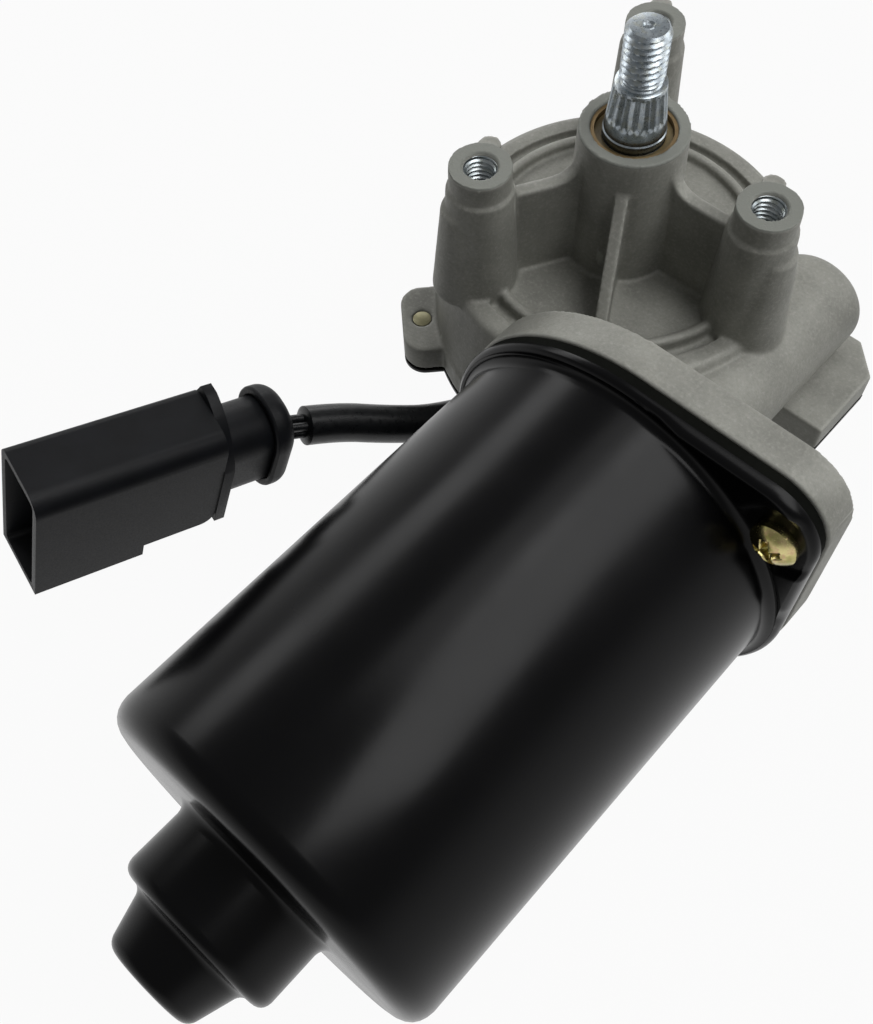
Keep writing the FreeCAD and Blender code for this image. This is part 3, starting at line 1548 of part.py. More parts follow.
def connector_housing():
    """The male connector: an open shroud, a collar flange and a barrel for the wires."""
    body = new_body("connector_housing")
    shroud = new_sketch(body, "shroud_outline", "YZ_Plane")
    add_outline(shroud, [
        (-s.plug_width / 2, s.plug_height / 2 - 2, 2, -1),
        (2 - s.plug_width / 2, s.plug_height / 2),
        (s.plug_width / 2 - s.plug_round, s.plug_height / 2, s.plug_round, -1),
        (s.plug_width / 2, s.plug_height / 2 - s.plug_round),
        (s.plug_width / 2, s.plug_step_height - s.plug_height / 2),
        (-s.plug_width / 2, s.plug_step_height - s.plug_height / 2),
    ])
    pad(body, "shroud", shroud, s.plug_length, turned_back=True)
    heel_back = -s.plug_length.value
    heel_low = s.plug_step_height.value - s.plug_height.value / 2
    round_edges(body, "shroud_heel", s.plug_heel_round,
                lambda edge: edge.BoundBox.XMax < heel_back + 0.01 and edge.BoundBox.ZMax < heel_low + 0.01)
    box(body, "shroud_step", s.plug_step_length, s.plug_width, s.plug_step_height + 1,
        (-s.plug_step_length, -s.plug_width / 2, -s.plug_height / 2))
    collar = new_sketch(body, "collar_outline", "YZ_Plane", (0, 0, -s.plug_length))
    side = s.plug_width / 2 + 0.3
    bend = side + 4
    add_outline(collar, [
        (2.1 - side, s.plug_collar_top),
        (4.4 - side, s.plug_collar_top, bend * 1.5, -1),
        (side, s.plug_collar_top - bend),
        (side, -s.plug_collar_bottom),
        (side - 2.3, -s.plug_collar_bottom, bend * 1.5, -1),
        (-side, bend - s.plug_collar_bottom),
        (-side, s.plug_collar_top - 5),
    ])
    pad(body, "collar", collar, s.plug_collar_thickness, turned_back=True)
    barrel = new_sketch(body, "barrel_outline", "YZ_Plane", (0, 0, -flange_end))
    add_plug_outline(barrel, s.barrel_height, s.barrel_width, s.plug_round * 1.5, s.plug_back_rise)
    pad(body, "barrel", barrel, s.barrel_length, turned_back=True)
    wall = s.plug_wall
    mouth = new_sketch(body, "mouth_outline", "YZ_Plane")
    add_plug_outline(mouth, s.plug_height - 2 * wall, s.plug_width - 2 * wall, 1.2)
    pocket(body, "mouth", mouth, s.plug_cavity)
    place(body, PLUG_AT, plug_rotation())
    return keep("connector_housing", body)


def connector_cap():
    """The cap that clips over the barrel and holds the wire seal."""
    body = new_body("connector_cap")
    outline = new_sketch(body, "cap_outline", "YZ_Plane", (0, 0, -cap_start))
    add_plug_outline(outline, s.cap_height, s.cap_width, s.plug_round * 1.5 + 1.5, s.plug_back_rise)
    pad(body, "cap_shell", outline, s.cap_length, turned_back=True)
    tail = -cap_end.value
    round_edges(body, "cap_rounding", s.cap_round, lambda edge: edge.BoundBox.XMax < tail + 0.01)
    hollow = new_sketch(body, "cap_hollow_outline", "YZ_Plane", (0, 0, -cap_start))
    add_plug_outline(hollow, s.barrel_height + 2 * s.play, s.barrel_width + 2 * s.play,
                     s.plug_round * 1.5, s.plug_back_rise)
    pocket(body, "cap_hollow", hollow, 3 + s.play)
    place(body, PLUG_AT, plug_rotation())
    return keep("connector_cap", body)


PINS = 4


def connector_pins():
    members = []
    for number in range(PINS):
        body = new_body(f"pin_{number}")
        level = (number - (PINS - 1) / 2) * s.pin_width * 2
        length = s.plug_cavity * 0.62
        box(body, f"blade_{number}", length, s.pin_thickness, s.pin_width,
            (-s.plug_cavity, -s.pin_thickness / 2, level - s.pin_width / 2))
        place(body, PLUG_AT, plug_rotation())
        members.append(body)
    return keep("connector_pins", group("connector_pins", members))


def build_all():
    for make in (
        gear_housing, gearbox_cover, cover_gasket, cover_screws, motor_can, can_gasket, can_screws,
        magnet_clips, armature_shaft, armature_core, core_insulators, armature_windings, commutator,
        front_bearing, bearing_clamp, worm_end_bush, worm_thrust_pad, rear_bush, bush_retainer,
        thrust_ball, thrust_seat, brush_plate, brush_boxes, carbon_brushes, brush_springs, choke_cores,
        choke_windings, output_shaft, gear_wheel, thrust_washer, contact_track, upper_bush, shaft_seal,
        lower_bush, shaft_thrust_pad, switch_plate, contact_fingers, cable_grommet, cable_sheath,
        connector_wires, connector_housing, connector_cap, connector_pins,
    ):
        make()
    magnet("magnet_upper", 90)
    magnet("magnet_lower", 270)


def check_document():
    """Stops on a failed object or on an empty or invalid shape."""
    failed = [item.Name for item in doc.Objects if "Invalid" in item.State or "Error" in item.State]
    if failed:
        raise RuntimeError(f"failed objects: {failed}")
    for piece in pieces:
        if piece.Shape.isNull() or not piece.Shape.isValid() or not piece.Shape.Solids:
            raise RuntimeError(f"{piece.Label} has no valid shape")


build_all()
doc.recompute()
check_document()
os.makedirs("parts", exist_ok=True)
for piece in pieces:
    piece.Shape.exportStep(f"parts/{piece.Label}.step")
    print(f"{piece.Label}: {len(piece.Shape.Solids)} solids, {piece.Shape.Volume:.0f} mm3")
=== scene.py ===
import json
import math

import bmesh
import bpy
import numpy as np
from mathutils import Matrix, Vector


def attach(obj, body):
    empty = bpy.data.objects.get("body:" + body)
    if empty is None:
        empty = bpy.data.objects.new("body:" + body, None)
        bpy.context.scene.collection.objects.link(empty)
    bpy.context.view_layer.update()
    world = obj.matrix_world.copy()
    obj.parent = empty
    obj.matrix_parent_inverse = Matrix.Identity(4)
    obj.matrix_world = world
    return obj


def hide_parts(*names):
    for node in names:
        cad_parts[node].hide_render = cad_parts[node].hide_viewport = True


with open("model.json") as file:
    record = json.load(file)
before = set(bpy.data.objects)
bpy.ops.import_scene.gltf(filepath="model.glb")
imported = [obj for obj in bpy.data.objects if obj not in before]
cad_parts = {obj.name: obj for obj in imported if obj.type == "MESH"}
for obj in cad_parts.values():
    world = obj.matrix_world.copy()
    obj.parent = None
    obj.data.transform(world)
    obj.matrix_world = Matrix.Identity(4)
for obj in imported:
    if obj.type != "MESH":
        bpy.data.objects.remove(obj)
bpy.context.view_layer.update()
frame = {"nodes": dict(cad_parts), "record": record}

nodes = frame["nodes"]
mm = 0.001
fullTurn = 2 * math.pi
weldGap = 0.002 * mm  # points nearer than this become one
nearAxis = 0.01  # first and last radius of a profile that closes on its axis, in mm
print("frame loaded:", len(nodes), "nodes")


# Materials

noiseSpan = (0.3, 0.7)  # most values of a noise pattern lie between these


def linearColour(hexText):
    # sRGB hex to the linear red, green, blue and alpha that the shader sockets take
    channels = [int(hexText[i:i + 2], 16) / 255 for i in (1, 3, 5)]
    straight = [c / 12.92 if c <= 0.04045 else ((c + 0.055) / 1.055) ** 2.4 for c in channels]
    return (*straight, 1.0)


def addNode(owner, kind, settings=None, out=None, **inputs):
    # one node with its settings. An input is a value or another node's output, and its key is the
    # socket's name, or i and its number. out names the output that is handed back.
    tree = owner.node_tree
    node = tree.nodes.new(kind)
    for key, value in (settings or {}).items():
        setattr(node, key, value)
    for key, value in inputs.items():
        numbered = key[0] == "i" and key[1:].isdigit()
        socket = node.inputs[int(key[1:])] if numbered else node.inputs[key.replace("_", " ")]
        if isinstance(value, bpy.types.NodeSocket):
            tree.links.new(value, socket)
        else:
            socket.default_value = value
    return node if out is None else node.outputs[out]


def emptyMaterial(name):
    # a material that has no nodes yet
    material = bpy.data.materials.new(name)
    material.use_nodes = True
    material.node_tree.nodes.clear()
    return material


def startMaterial(name, patterns):
    # an empty material and the noise patterns laid out on its Object coordinates; a pattern is
    # (size in mm, detail, roughness), and its scale is one over its size
    material = emptyMaterial(name)
    place = addNode(material, "ShaderNodeTexCoord", out="Object")
    waves = {key: addNode(material, "ShaderNodeTexNoise", out="Fac", Vector=place, Scale=1 / (size * mm),
                          Detail=detail, Roughness=rough)
             for key, (size, detail, rough) in patterns.items()}
    return material, waves


def paintOver(material, colour, layers):
    # a layer is (source, from, to, first, last, tint): as the source goes from one value to the other,
    # the tint's share goes from first to last
    for source, low, high, first, last, tint in layers:
        share = addNode(material, "ShaderNodeMapRange", out="Result", Value=source, From_Min=low,
                        From_Max=high, To_Min=first, To_Max=last)
        colour = addNode(material, "ShaderNodeMix", {"data_type": "RGBA"}, out=2, i0=share, i6=colour,
                         i7=linearColour(tint))
    return colour


def finishMaterial(material, colour, roughness, metallic, bumps, specular=0.5):
    # roughness is (source, least, most); bumps is a list of (height, depth in mm), each over the last
    source, least, most = roughness
    low, high = noiseSpan
    rough = addNode(material, "ShaderNodeMapRange", out="Result", Value=source, From_Min=low,
                    From_Max=high, To_Min=least, To_Max=most)
    under = {}
    for height, depth in bumps:
        under = {"Normal": addNode(material, "ShaderNodeBump", out="Normal", Height=height,
                                   Distance=depth * mm, Strength=1.0, **under)}
    surface = addNode(material, "ShaderNodeBsdfPrincipled", out="BSDF", Base_Color=colour,
                      Roughness=rough, Metallic=metallic, Specular_IOR_Level=specular, **under)
    addNode(material, "ShaderNodeOutputMaterial", Surface=surface)
    return material


dieCastLook = {
    # edge is the light tint of the specks and the sand, and of the painted highlight on convex edges
    "dark": "#75756f", "grey": "#8f8f88", "edge": "#a9a9a2", "pit": "#5d5d58", "milled": "#777973",
    "milledAbove": -0.3, "milledBlend": 0.1, "metallic": 0.15, "specular": 0.3,
    "roughness": (0.50, 0.62),
    "patterns": {"flow": (14.0, 4.0, 0.55), "grain": (0.35, 2.0, 0.55), "sand": (0.65, 2.0, 0.7),
                 "speck": (1.6, 5.0, 0.7)},
    "bumps": {"grain": 0.03, "sand": 0.05, "speck": 0.04}}


def dieCastAluminium():
    # as-cast aluminium: dull grey with flow marks and a sandy skin, with a painted highlight on its
    # convex edges; the boss and collar faces at the top are milled, so they are even. The real skin's
    # grains are about a tenth of a millimetre, and grain and sand are drawn as coarse as they need to
    # show.
    look = dieCastLook
    material, waves = startMaterial("dieCastAluminium", look["patterns"])
    # pointiness marks the convex edges for the painted highlight
    edges = addNode(material, "ShaderNodeNewGeometry", out="Pointiness")
    place = addNode(material, "ShaderNodeTexCoord", out="Object")
    level = addNode(material, "ShaderNodeSeparateXYZ", out="Z", Vector=place)
    milledFrom = (look["milledAbove"] - look["milledBlend"]) * mm
    colour = paintOver(material, linearColour(look["dark"]), [
        (waves["flow"], *noiseSpan, 0.0, 1.0, look["grey"]),
        (waves["speck"], 0.55, 0.75, 0.0, 0.25, look["edge"]),
        (waves["sand"], 0.52, 0.72, 0.0, 0.28, look["edge"]),
        (waves["sand"], 0.30, 0.44, 0.22, 0.0, look["pit"]),
        # painted highlight: convex edges lightened towards the edge tint
        (edges, 0.51, 0.60, 0.0, 0.8, look["edge"]),
        (level, milledFrom, look["milledAbove"] * mm, 0.0, 1.0, look["milled"])])
    return finishMaterial(material, colour, (waves["speck"], *look["roughness"]), look["metallic"],
                          [(waves[key], depth) for key, depth in look["bumps"].items()],
                          look["specular"])


enamelLook = {
    "black": "#050506", "dust": "#1d1f22", "roughness": (0.20, 0.28), "specular": 0.13,
    "peelDepth": 0.006,
    "patterns": {"peel": (2.2, 2.0, 0.55), "haze": (24.0, 3.0, 0.55), "dust": (0.55, 3.0, 0.8)}}


def blackEnamel():
    # dipped black enamel on drawn steel: deep gloss, a faint orange peel and a little dust, whose
    # specks are drawn coarser than real so that they show
    look = enamelLook
    material, waves = startMaterial("blackEnamel", look["patterns"])
    colour = paintOver(material, linearColour(look["black"]),
                       [(waves["dust"], 0.70, 0.80, 0.0, 0.5, look["dust"])])
    return finishMaterial(material, colour, (waves["haze"], *look["roughness"]), 0.0,
                          [(waves["peel"], look["peelDepth"])], look["specular"])


# plated and cut metal: three tints, roughness, and size and depth of the turning marks in mm. Real
# marks are finer, and these are drawn as coarse as they need to show.
zincLooks = {
    # yellow passivated zinc on the can's screws: gold that drifts to green and pink
    "yellowPassivatedZinc": ("#cfc28a", "#989359", "#bd917e", 0.2, 0.25, 0.003),
    # the same film gone dull and olive, on the cover's screws
    "agedPassivatedZinc": ("#85816a", "#6e6b55", "#7a765c", 0.5, 0.25, 0.003),
    # clear passivated zinc on the output shaft: cold grey-blue and bright
    "clearPassivatedZinc": ("#a4abb0", "#8d959b", "#9c9d90", 0.30, 0.3, 0.0008),
    # the tapped threads of the bosses: bare metal, brighter than the cast skin
    "cutThread": ("#a9aeb0", "#868d90", "#787b70", 0.30, 0.2, 0.0015),
}
# patterns of the film: size in mm, detail and roughness
filmPatterns = {"drift": (2.4, 2.0, 0.55), "spots": (1.1, 3.0, 0.55)}


def zincPlate(name, first, second, third, roughness, marks, depth):
    # a bright surface whose tint drifts, over fine turning marks
    material, waves = startMaterial(name, {**filmPatterns, "marks": (marks, 3.0, 0.55)})
    colour = paintOver(material, linearColour(first), [(waves["drift"], 0.35, 0.6, 0.0, 1.0, second),
                                                       (waves["spots"], 0.5, 0.7, 0.0, 0.6, third)])
    return finishMaterial(material, colour, (waves["marks"], roughness - 0.06, roughness + 0.08), 1.0,
                          [(waves["marks"], depth)])


# colour, its shade, roughness, metallic, size and depth of the grain in mm, specular level. Most of
# the real grains are about a tenth of a millimetre, and are drawn as coarse as they need to show.
plainLooks = {
    "mouldedGlassNylon": ("#0b0c0e", "#111215", 0.46, 0.0, 0.35, 0.012, 0.14),  # plug: dull spark grain
    "mouldedRubber": ("#101112", "#18191a", 0.5, 0.0, 0.5, 0.015, 0.3),  # grommet: soft grey sheen
    "extrudedPvc": ("#0c0d0e", "#141517", 0.30, 0.0, 1.2, 0.012, 0.3),  # cable: smooth, long waves
    "gasketComposite": ("#080907", "#0e0f0c", 0.8, 0.0, 0.6, 0.02, 0.04),  # fibre board: no shine
    "oiledSeal": ("#6a5c3a", "#4a3f28", 0.4, 0.3, 0.5, 0.02, 0.5),  # rubber under brown oil
    "sinteredBronze": ("#86714f", "#6d5b40", 0.42, 0.8, 0.3, 0.02, 0.5),  # bushes: brown, full of pores
    "groundSteel": ("#b4b6b7", "#9a9d9f", 0.26, 1.0, 0.25, 0.006, 0.5),  # shaft and bearing: bright
    "stampedSteel": ("#6c6e71", "#57595c", 0.42, 1.0, 0.5, 0.01, 0.5),  # core and clips: blue-grey
    "sinteredFerrite": ("#3a3b3d", "#2f3032", 0.6, 0.1, 0.5, 0.02, 0.5),  # magnets: stony charcoal
    "turnedCopper": ("#b87449", "#9c5d38", 0.32, 1.0, 0.3, 0.01, 0.5),  # commutator and track: warm
    "enamelledWire": ("#8e4723", "#70361b", 0.3, 0.6, 0.6, 0.05, 0.5),  # windings: red-brown varnish
    "rolledBrass": ("#bf9f57", "#a3853f", 0.3, 1.0, 0.4, 0.008, 0.5),  # pins and springs: yellow sheen
    "mouldedAcetal": ("#dad6c9", "#cfcab9", 0.4, 0.0, 0.4, 0.01, 0.5),  # wheel: milky white
    "mouldedPhenolic": ("#80683f", "#6c5636", 0.5, 0.0, 0.5, 0.02, 0.5),  # plates: tan, faintly cloudy
    "pressedCarbon": ("#2d2e30", "#3a322b", 0.55, 0.2, 0.3, 0.02, 0.5),  # brushes: grey-brown, powdery
}
cloudGrains = 18  # a colour cloud is this many grains wide


def plainFinish(name, colour, shade, roughness, metallic, grain, depth, specular):
    # one colour that drifts towards a shade of itself, with a grain of its own size
    material, waves = startMaterial(
        name, {"cloud": (grain * cloudGrains, 3.0, 0.55), "grain": (grain, 2.0, 0.55)})
    tone = paintOver(material, linearColour(colour), [(waves["cloud"], *noiseSpan, 0.0, 1.0, shade)])
    return finishMaterial(material, tone, (waves["grain"], roughness - 0.05, roughness + 0.07), metallic,
                          [(waves["grain"], depth)], specular)


finishes = {"dieCastAluminium": dieCastAluminium(), "blackEnamel": blackEnamel()}
for name, look in zincLooks.items():
    finishes[name] = zincPlate(name, *look)
for name, look in plainLooks.items():
    finishes[name] = plainFinish(name, *look)
print("materials made:", len(finishes))

slotFinishes = {
    "die_cast": "dieCastAluminium", "black_paint": "blackEnamel", "cover_steel": "blackEnamel",
    "yellow_zinc": "yellowPassivatedZinc", "plated_shaft": "clearPassivatedZinc",
    "bright_steel": "groundSteel", "core_steel": "stampedSteel", "ferrite": "sinteredFerrite",
    "copper": "turnedCopper", "enamel_wire": "enamelledWire", "bronze": "sinteredBronze",
    "spring_brass": "rolledBrass", "rubber": "mouldedRubber", "black_plastic": "mouldedGlassNylon",
    "white_plastic": "mouldedAcetal", "tan_plastic": "mouldedPhenolic", "carbon": "pressedCarbon",
    "gasket_paper": "gasketComposite", "cable_skin": "extrudedPvc"}


def coat(mesh, finish):
    # the finish of that name in the place of what the mesh had
    mesh.materials.clear()
    mesh.materials.append(finishes[finish])


for part in frame["record"]["subparts"]:
    coat(nodes[part["node"]].data, slotFinishes[part["material_slot"]])
coat(nodes["shaft_seal"].data, "oiledSeal")
print("nodes finished")


# Building surfaces

def readPoints(mesh):
    # the mesh's points in mm, one row each
    points = np.empty(len(mesh.vertices) * 3)
    mesh.vertices.foreach_get("co", points)
    return points.reshape(-1, 3) / mm


def writePoints(mesh, points):
    # points in mm back into the mesh
    mesh.vertices.foreach_set("co", (points * mm).ravel())
    mesh.update()


def gridFaces(rows, columns):
    # quads between neighbouring rows and columns, where the last column is joined to the first
    row, column = np.meshgrid(np.arange(rows - 1), np.arange(columns), indexing="ij")
    nextColumn = (column + 1) % columns
    quads = np.stack([row * columns + column, row * columns + nextColumn,
                      (row + 1) * columns + nextColumn, (row + 1) * columns + column], axis=-1)
    return quads.reshape(-1, 4)


def joinGrids(grids):
    # several closed point grids in one list of points and faces
    points, faces, base = [], [], 0
    for grid in grids:
        points.append(np.asarray(grid, float).reshape(-1, 3))
        faces.append(gridFaces(*grid.shape[:2]) + base)
        base += len(points[-1])
    return np.concatenate(points), np.concatenate(faces)


def shadeByAngle(mesh, degrees):
    # smooth faces, with the edges sharper than the angle kept hard
    mesh.shade_smooth()
    mesh.set_sharp_from_angle(angle=math.radians(degrees))


def weld(mesh, work):
    # merges doubles in the mesh, so that poles and seams close, and then does the given work on it
    shape = bmesh.new()
    shape.from_mesh(mesh)
    bmesh.ops.remove_doubles(shape, verts=shape.verts, dist=weldGap)
    work(shape)
    shape.to_mesh(mesh)
    shape.free()


def turnOutwards(shape):
    # every face's normal points out of the closed shape
    bmesh.ops.recalc_face_normals(shape, faces=shape.faces)


def addPiece(name, data):
    # an object in the scene that holds a mesh, a lamp or a camera
    piece = bpy.data.objects.new(name, data)
    bpy.context.scene.collection.objects.link(piece)
    return piece


def gridPiece(name, grids, finish, smoothAngle):
    # one piece from closed point grids in mm, with its faces turned outwards
    points, faces = joinGrids(grids)
    mesh = bpy.data.meshes.new(name)
    mesh.from_pydata((points * mm).tolist(), [], faces.tolist())
    weld(mesh, turnOutwards)
    piece = addPiece(name, mesh)
    coat(mesh, finish)
    shadeByAngle(mesh, smoothAngle)
    return piece


def ring(radius, height, turn):
    # points round the Z axis: r cos t, r sin t, z
    return np.stack([radius * np.cos(turn), radius * np.sin(turn), height + 0 * turn], axis=-1)


def revolved(profile, turn):
    # each (radius, height) of the profile carried round the Z axis
    profile = np.asarray(profile, float)
    return ring(profile[:, :1], profile[:, 1:], turn)


def closePoles(grid):
    # the first and the last row drawn to the axis
    grid[0, :, :2] = 0
    grid[-1, :, :2] = 0
    return grid


def roundedProfile(corners, steps=6, fullness=0.83):
    # a profile whose corners (radius, height, rounding) become arcs: a quadratic curve whose ends lie
    # the rounding away from the corner, and whose middle point lies near it by the fullness
    out = []
    for i, (r, z, rounding) in enumerate(corners):
        here = np.array([r, z], float)
        if rounding == 0 or i in (0, len(corners) - 1):
            out.append(here)
            continue
        before = np.array(corners[i - 1][:2], float) - here
        after = np.array(corners[i + 1][:2], float) - here
        start = here + before / np.linalg.norm(before) * rounding
        end = here + after / np.linalg.norm(after) * rounding
        middle = here * fullness + (start + end) / 2 * (1 - fullness)
        t = np.linspace(0, 1, steps + 1)[:, None]
        out.extend((1 - t) ** 2 * start + 2 * t * (1 - t) * middle + t ** 2 * end)
    return np.array(out)


def withModifiers(piece):
    # the piece's modifiers applied: it holds the new mesh, and the old one is gone
    bpy.context.view_layer.update()
    old = piece.data
    new = bpy.data.meshes.new_from_object(piece.evaluated_get(bpy.context.evaluated_depsgraph_get()))
    piece.modifiers.clear()
    piece.data = new
    bpy.data.meshes.remove(old)
    return new


# Gear housing and the threads in its bosses

bossLook = {"circle": 29.0, "angles": (0, 120, 240), "bore": 3.06, "radius": 3.0, "ridge": 0.52,
            "pitch": 1.0, "top": -0.62, "depth": 15.5, "fade": 0.7, "crestGain": 1.3, "crestFlat": 0.15,
            "steps": 96, "rowsPerTurn": 12, "smooth": 60, "holeCore": 1.5, "holeFoot": -17.2,
            "holeTop": -0.2}
# the can's axis, its flange's reach and the rounding of its corners serve the housing and the can
housingLook = {"voxel": 0.42, "quickVoxel": 0.9, "relax": 0.5, "rounds": 4, "triangles": 190000,
               "millDepth": 0.3, "bossReach": 6.0, "collarTop": 0.2, "collarReach": 10.4,
               "axisX": 34.2, "axisZ": -40.0, "flange": 37.3, "corner": 11.0, "cornerReach": 0.9,
               "flangeFront": -40.4, "flangeBack": -34.6,
               "plug": (45.7, 8.7, -49.12), "plugRadius": 2.4, "plugDepth": 1.2, "plugSides": 32}


def bossSpots():
    # where the bosses stand: circle * (cos, sin) of each angle
    return [np.array([math.cos(angle), math.sin(angle)]) * bossLook["circle"]
            for angle in np.radians(bossLook["angles"])]


def millFaces(mesh):
    # points near the top of a boss or of the collar are set flat into its milled plane
    points = readPoints(mesh)
    faces = [(0.0, 0.0, housingLook["collarTop"], housingLook["collarReach"])]
    faces += [(*spot, 0.0, housingLook["bossReach"]) for spot in bossSpots()]
    for x, y, level, reach in faces:
        near = np.hypot(points[:, 0] - x, points[:, 1] - y) < reach
        points[near & (points[:, 2] > level - housingLook["millDepth"]), 2] = level
    writePoints(mesh, points)


def roundFlange(mesh):
    # points on the flange's two rounded corners are set on their cylinders, so no facet shows
    look = housingLook
    points = readPoints(mesh)
    for side in (1, -1):
        inset = side * (look["flange"] - look["corner"])
        across = points[:, 0] - look["axisX"] - inset
        up = points[:, 2] - look["axisZ"] - inset
        far = np.hypot(across, up)
        skin = (side * across > 0) & (side * up > 0) & (far > look["corner"] - look["cornerReach"]) & \
            (points[:, 1] > look["flangeFront"]) & (points[:, 1] < look["flangeBack"])
        stretch = look["corner"] / far[skin]
        points[skin, 0] = look["axisX"] + inset + across[skin] * stretch
        points[skin, 2] = look["axisZ"] + inset + up[skin] * stretch
    writePoints(mesh, points)


def openBossHoles(mesh):
    # every point of a boss hole's wall is pushed out to the thread's outer radius
    look = bossLook
    points = readPoints(mesh)
    height = points[:, 2]
    for spot in bossSpots():
        away = points[:, :2] - spot
        far = np.hypot(*away.T)
        wall = (far > look["holeCore"]) & (far < look["bore"]) & (height > look["holeFoot"]) & \
            (height < look["holeTop"])
        points[wall, :2] = spot + away[wall] / far[wall, None] * look["bore"]
    writePoints(mesh, points)


def closeBlock(shape):
    # a short plug over the screw hole in the block, whose top is closed on the real casting
    look = housingLook
    bmesh.ops.create_cone(shape, cap_ends=True, segments=look["plugSides"],
                          radius1=look["plugRadius"] * mm, radius2=look["plugRadius"] * mm,
                          depth=look["plugDepth"] * mm,
                          matrix=Matrix.Translation(Vector(look["plug"]) * mm))


def castHousing():
    # the housing's solid with cast-in radii: rebuilt from small cells, relaxed, then thinned
    look = housingLook
    mesh = nodes["gear_housing"].data.copy()
    mesh.name = "castHousing"
    weld(mesh, closeBlock)
    piece = addPiece("castHousing", mesh)
    cells = piece.modifiers.new("cells", "REMESH")
    cells.mode = "VOXEL"
    cells.voxel_size = look["voxel"] * mm
    relax = piece.modifiers.new("relax", "SMOOTH")
    relax.factor = look["relax"]
    relax.iterations = look["rounds"]
    mesh = withModifiers(piece)
    roundFlange(mesh)
    triangles = sum(len(face.vertices) - 2 for face in mesh.polygons)
    if triangles > look["triangles"]:
        piece.modifiers.new("thin", "DECIMATE").ratio = look["triangles"] / triangles
        mesh = withModifiers(piece)
    millFaces(mesh)
    openBossHoles(mesh)
    mesh.shade_smooth()
    coat(mesh, "dieCastAluminium")
    print("housing:", triangles, "triangles before thinning")
    return piece


def bossThreads():
    # a tube whose inner radius falls by the ridge once per pitch: r = radius - ridge * crest, where
    # crest is crestGain * |2 f - 1| - crestFlat, kept between 0 and 1, and f is the part of a turn
    # left over at that height and angle. It fades in below the top.
    look = bossLook
    turn = np.arange(look["steps"]) * fullTurn / look["steps"]
    rows = int(look["depth"] / look["pitch"] * look["rowsPerTurn"])
    height = look["top"] - np.linspace(0, look["depth"], rows)[:, None]
    phase = (height / look["pitch"] - turn / fullTurn) % 1.0
    crest = np.clip(look["crestGain"] * np.abs(2 * phase - 1) - look["crestFlat"], 0, 1)
    fade = np.clip((look["top"] - height) / look["fade"], 0, 1)
    wall = ring(look["radius"] - look["ridge"] * crest * fade, height, turn)
    back = revolved([(look["bore"], height[-1, 0]), (look["bore"], look["top"])], turn)
    tube = np.concatenate([wall, back, wall[:1]])
    tubes = [tube + (*spot, 0) for spot in bossSpots()]
    return gridPiece("bossThreads", tubes, "cutThread", look["smooth"])


housing = castHousing()
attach(housing, "housing")
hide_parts("gear_housing")

threads = bossThreads()
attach(threads, "housing")
print("housing and its threads made")


# Output spindle

spindleLook = {
    "lower": [(nearAxis, -47.0), (5.4, -47.0), (6.4, -46.0), (6.4, -35.0), (5.75, -34.98), (5.75, -1.9),
              (5.5, -1.6), (5.5, -0.9), (5.79, -0.6), (5.79, 0.3), (5.59, 0.55), (5.62, 1.0)],
    "cone": (1.3, 10.3), "coneRadii": (5.62, 4.58), "coneRows": 40, "teeth": 28, "toothDepth": 0.34,
    "toothShape": 0.8, "teethSpan": (3.0, 9.7), "teethFade": (0.8, 0.3),
    "neck": [(4.46, 10.38), (3.7, 10.5), (3.45, 10.75)], "neckRadius": 3.45,
    "stud": (11.0, 21.38), "studRows": 130, "threadRadius": 4.0, "threadDepth": 0.62, "pitch": 1.25,
    "grooveGain": 1.25, "grooveFlat": 0.12, "runOut": 11.0, "runOutSlope": 0.9, "chamfer": 0.75,
    "top": 21.4, "cap": [(3.15, 21.4), (1.1, 21.4), (0.8, 21.05), (nearAxis, 20.8)],
    "steps": 224, "smooth": 32}


def spindlePoints():
    # a surface round the Z axis. Thread: r falls in a rounded V once per pitch along a helix.
    # Cone: r goes evenly from foot to top, less a V per tooth that fades out near both ends.
    look = spindleLook
    turn = np.arange(look["steps"]) * fullTurn / look["steps"]

    (foot, top), (footRadius, topRadius) = look["cone"], look["coneRadii"]
    (firstTooth, lastTooth), (fadeIn, fadeOut) = look["teethSpan"], look["teethFade"]
    height = np.linspace(foot, top, look["coneRows"])[:, None]
    cone = footRadius + (topRadius - footRadius) * ((height - foot) / (top - foot))
    wave = np.abs(2 * ((turn * look["teeth"] / fullTurn) % 1.0) - 1)
    share = np.clip((height - firstTooth) / fadeIn, 0, 1) * \
        np.clip((lastTooth - height) / fadeOut, 0, 1)
    middle = ring(cone - look["toothDepth"] * wave ** look["toothShape"] * share, height, turn)

    height = np.linspace(*look["stud"], look["studRows"])[:, None]
    phase = (height / look["pitch"] - turn / fullTurn) % 1.0
    groove = np.clip(look["grooveGain"] * (1 - np.abs(2 * phase - 1)) - look["grooveFlat"], 0, 1)
    bar = look["threadRadius"] - look["threadDepth"] * groove
    runOut = look["neckRadius"] + look["runOutSlope"] * np.maximum(height - look["runOut"], 0)
    bar = np.minimum(bar, runOut)
    bar = np.minimum(bar, look["threadRadius"] - look["chamfer"] + (look["top"] - height))

    return closePoles(np.concatenate([
        revolved(look["lower"], turn), middle, revolved(look["neck"], turn), ring(bar, height, turn),
        revolved(look["cap"], turn)]))


spindle = gridPiece("spindle", [spindlePoints()], "clearPassivatedZinc", spindleLook["smooth"])
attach(spindle, "output")
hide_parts("output_shaft")
print("spindle made")


# Motor can

